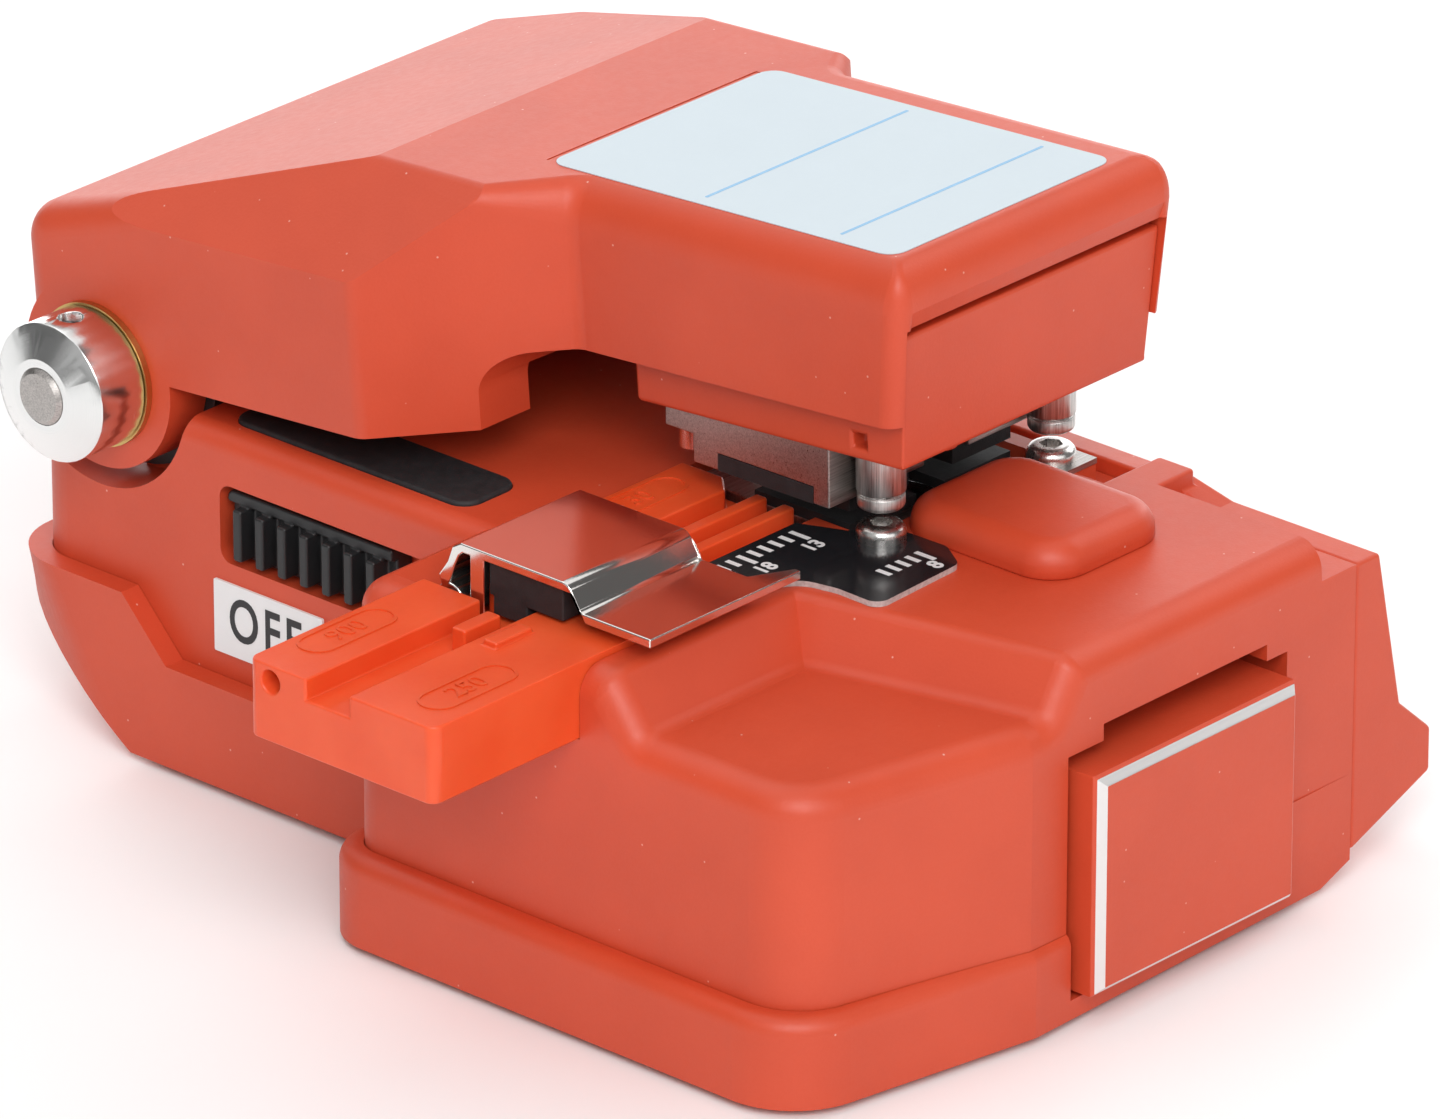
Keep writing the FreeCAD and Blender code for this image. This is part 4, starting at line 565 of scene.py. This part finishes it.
def reshaped(name, node, rule, body, turn):
    """Copy of a node with its points moved by a rule after a turn, which stands for the node."""
    mesh = nodes[node].data.copy()
    for point in mesh.vertices:
        point.co = turn.inverted() @ (rule(turn @ point.co / MM) * MM)
    piece = settle(name, mesh, body)
    if node in EDGE:
        soften(piece, EDGE[node])
    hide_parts(node)
    return piece


reshaped("lid_hood", "lid_shell", shell_form, "lid", level)
reshaped("front_block", "clamp_block", block_form, "lid", level)
label_plate = reshaped("label_plate", "lid_label", shell_form, "lid", level)

# Foot with its lower back edge cut back further than its nodes have it
tray_near, tray_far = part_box("base_tray")
foot_low = tray_near[2] / MM
foot_back = tray_far[1] / MM
# The slanted plane's length along the sole, its height up the back, and the share of the old form it keeps
keel_run = 14.0
keel_rise = 10.0
keel_keep = 0.20


def keel_form(start):
    """New place of a point of the foot, drawn from the sharp lower back edge to a slanted plane."""
    run, rise = foot_back - start.y, start.z - foot_low
    near = run / keel_run + rise / keel_rise
    if not slack < near < 1:
        return start
    grow = (1 - keel_keep * (1 - near)) / near
    return Vector((start.x, foot_back - run * grow, foot_low + rise * grow))


reshaped("foot_tray", "base_tray", keel_form, "base", Matrix.Identity(4))
reshaped("foot_body", "base_body", keel_form, "base", Matrix.Identity(4))

# Bare label on the lid: pale film with two thin blue rules
label_left = -10.75
label_right = 11.3
label_front = -16.15
label_back = 14.3
label_round = 1.3
film_top = 0.11
label_place = top_of(label_plate.data)
label_outline = rounded(label_left, label_right, label_front, label_back, label_round)
mark("label_print", *slab(label_outline, 0.0, film_top), label_place, FINISH["label_film"],
     "lid", "label_film")
rule_left = label_left + 1.1
rule_right = label_right - 0.9
rule_half = 0.13
rule_round = 0.05
rule_top = film_top + 0.015
for name, way_down in (("label_rule_back", 0.43), ("label_rule_front", 0.82)):
    rule_y = label_back - way_down * (label_back - label_front)
    rule_outline = rounded(rule_left, rule_right, rule_y - rule_half, rule_y + rule_half, rule_round, 1)
    mark(name, *slab(rule_outline, film_top, rule_top), label_place, PRINT_BLUE, "lid", "label_film")

# Switch plate on the left wall: it reads towards the front and faces left
wall_x = -23.7
switch_y = 31.0
switch_z = 12.6
left_wall = Matrix((
    (0, 0, -1, wall_x * MM),
    (-1, 0, 0, switch_y * MM),
    (0, 1, 0, switch_z * MM),
    (0, 0, 0, 1),
))
switch_left, switch_right = -4.7, 5.4
switch_low, switch_high = -2.7, 2.6
switch_round = 0.1
switch_under, switch_top = -0.05, 0.20
switch_outline = rounded(switch_left, switch_right, switch_low, switch_high, switch_round, 2)
mark("switch_plate", *slab(switch_outline, switch_under, switch_top), left_wall, PRINT_WHITE,
     "base", "label_film")
word_tall = 3.1
word_right = 0.1
word_lift = switch_top + 0.01
word_place = left_wall @ level_place(word_right, 0, word_lift)
words("switch_word", "OFF", word_tall, word_place, PRINT_BLACK, "base",
      bold=0.06, narrow=0.78, spread=1.22)

# White ticks and numbers on the black scale
scale_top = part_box("scale_plate")[1][2] / MM
SCALE_NUMBERS = (("13", -11.3, -7.15), ("18", -16.05, -7.2), ("8", -8.2, -15.1))

# Each row has its first tick's x, the pitch, the count, which ticks are long and the y of their back ends
TICK_ROWS = (
    (-10.7, 1.04, 8, (0, 5), -4.55),
    (-7.6, 0.95, 5, (0,), -12.8),
)
tick_half = 0.20
tick_long = 1.7
tick_short = 1.2
tick_thick = 0.02
ticks = []
for first_x, pitch, count, long_ones, back_y in TICK_ROWS:
    for k in range(count):
        left, right = (first_x - pitch * k + side * tick_half for side in (-1, 1))
        front_y = back_y - (tick_long if k in long_ones else tick_short)
        corners = [(left, front_y), (right, front_y), (right, back_y), (left, back_y)]
        ticks.append(slab(corners, 0.0, tick_thick))
mark("scale_ticks", *several(ticks), level_place(0, 0, scale_top), PRINT_WHITE, "base", "scale_black")
scale_number_tall = 1.15
for number, x, y in SCALE_NUMBERS:
    words("scale_number_" + number, number, scale_number_tall, level_place(x, y, scale_top), PRINT_WHITE,
          "base", bold=0.05)

# Raised outlines with the coating sizes on the adapter's two flats
COATING_NUMBERS = (("900", -41.7, 6.2), ("250", -42.8, -5.5), ("30", -13.5, 6.3))
adapter_top = 26.5
raised = 0.10
sunk = -0.1
outline_half_long = 4.1
outline_half_wide = 1.45
outline_line = 0.22
end_straight = 0.01
coating_number_tall = 1.5
loops = []
for inset in (0.0, outline_line):
    half_long, half_wide = outline_half_long - inset, outline_half_wide - inset
    loops.append(rounded(-half_long, half_long, -half_wide, half_wide, half_wide - end_straight))
for number, x, y in COATING_NUMBERS:
    spot = level_place(x, y, adapter_top)
    mark("outline_" + number, *band(*loops, sunk, raised), spot, FINISH["adapter_orange"],
         "base", "adapter_orange")
    words("number_" + number, number, coating_number_tall, spot, FINISH["adapter_orange"],
          "base", raised)

# Brass washers whose rims stand out past the collars
washer_radius = 5.12
bore_room = 0.05
wall_room = 0.02
rim_steps = 48
shaft_low, shaft_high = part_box("hinge_shaft")
bore_radius = (shaft_high[2] - shaft_low[2]) / 2 / MM + bore_room
washer_low, washer_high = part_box("thrust_washers")
hinge_side = Matrix((
    (0, 0, 1, 0),
    (1, 0, 0, HINGE.y),
    (0, 1, 0, HINGE.z),
    (0, 0, 0, 1),
))
rim_turns = [math.tau * k / rim_steps for k in range(rim_steps)]
rim_outer, rim_bore = (
    [(radius * math.cos(turn), radius * math.sin(turn)) for turn in rim_turns]
    for radius in (washer_radius, bore_radius))
left_rim = band(rim_outer, rim_bore, washer_low[0] / MM, wall_x - wall_room)
right_rim = band(rim_outer, rim_bore, -wall_x + wall_room, washer_high[0] / MM)
washers = mark("washer_rims", *several([left_rim, right_rim]), hinge_side, FINISH["washer_brass"],
               "base", "washer_brass")
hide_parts("thrust_washers")

# Return spring as a copy with a mesh of its own, riding on the base
coil = settle("return_coil", nodes["return_spring"].data.copy(), "base")
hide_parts("return_spring")
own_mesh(coil)

# Studio: pale floor and soft lights


def floor_finish():
    """Nearly white, matte floor."""
    r = Recipe("pale_floor")
    tone = r.mix(r.noise(400.0, 2.0), (0.95, 0.95, 0.95), (0.97, 0.97, 0.97))
    r.set(Base_Color=tone, Roughness=0.6)
    return r.material


floor_half = 3.0
floor_corners = [(x * floor_half, y * floor_half, 0) for x, y in ((-1, -1), (1, -1), (1, 1), (-1, 1))]
floor_mesh = bpy.data.meshes.new("floor")
floor_mesh.from_pydata(floor_corners, [], [(0, 1, 2, 3)])
floor_mesh.materials.append(floor_finish())
floor = bpy.data.objects.new("floor", floor_mesh)
bpy.context.scene.collection.objects.link(floor)

# What the lights point at
MIDDLE = Vector((0, 0.01, 0.025))


def soft_light(name, place, size, power):
    """Rectangular area light that faces the model."""
    lamp = bpy.data.lights.new(name, "AREA")
    lamp.shape = "RECTANGLE"
    lamp.size, lamp.size_y = size
    lamp.energy = power
    thing = bpy.data.objects.new(name, lamp)
    bpy.context.scene.collection.objects.link(thing)
    thing.location = place
    thing.rotation_euler = (MIDDLE - Vector(place)).to_track_quat("-Z", "Y").to_euler()


# Each light's place and its two sides in metres, and its power in watts
LIGHTS = (
    ("top_light", (-0.05, 0.10, 0.90), (1.0, 1.0), 2.96),
    ("back_light", (-0.05, 0.50, 0.65), (0.9, 0.6), 1.19),
    ("left_light", (-0.80, 0.10, 0.40), (0.6, 0.6), 0.4),
    ("front_light", (-0.10, -0.80, 0.40), (0.7, 0.5), 1.48),
    ("camera_light", (-0.65, -0.60, 0.70), (0.6, 0.6), 8.39),
    ("backdrop", (0.80, 0.75, 0.30), (1.6, 0.6), 7.44),
    ("right_light", (0.85, -0.10, 0.50), (0.6, 0.6), 2.75),
)
for row in LIGHTS:
    soft_light(*row)

WORLD_STRENGTH = 0.12
world = bpy.data.worlds.new("studio")
world.use_nodes = True
bpy.context.scene.world = world
background = world.node_tree.nodes["Background"]
background.inputs["Color"].default_value = (1, 1, 1, 1)
background.inputs["Strength"].default_value = WORLD_STRENGTH

# Camera at the photograph's angle
AZIMUTH = math.radians(-47.95)
ELEVATION = math.radians(24.45)
ROLL = math.radians(0.05)
FOCAL_PIXELS = 13000.0
IMAGE_WIDTH = 1440.0
EYE = Vector((-592.6, -523.2, 378.8)) * MM


def photo_camera():
    """Camera with a long lens at the photograph's place and angle."""
    back = Vector((math.sin(AZIMUTH) * math.cos(ELEVATION), -math.cos(AZIMUTH) * math.cos(ELEVATION),
                   math.sin(ELEVATION)))
    right = Vector((0, 0, 1)).cross(back).normalized()
    up = back.cross(right)
    turn = Matrix.Rotation(ROLL, 3, back)
    axes = Matrix((turn @ right, turn @ up, back)).transposed()
    lens = bpy.data.cameras.new("photo_camera")
    lens.sensor_fit = "HORIZONTAL"
    lens.sensor_width = 36.0
    lens.lens = FOCAL_PIXELS / IMAGE_WIDTH * lens.sensor_width
    lens.clip_start = 0.01
    lens.clip_end = 20.0
    thing = bpy.data.objects.new("photo_camera", lens)
    thing.matrix_world = Matrix.Translation(EYE) @ axes.to_4x4()
    bpy.context.scene.collection.objects.link(thing)
    bpy.context.scene.camera = thing


photo_camera()
bpy.context.scene.view_settings.view_transform = "Standard"
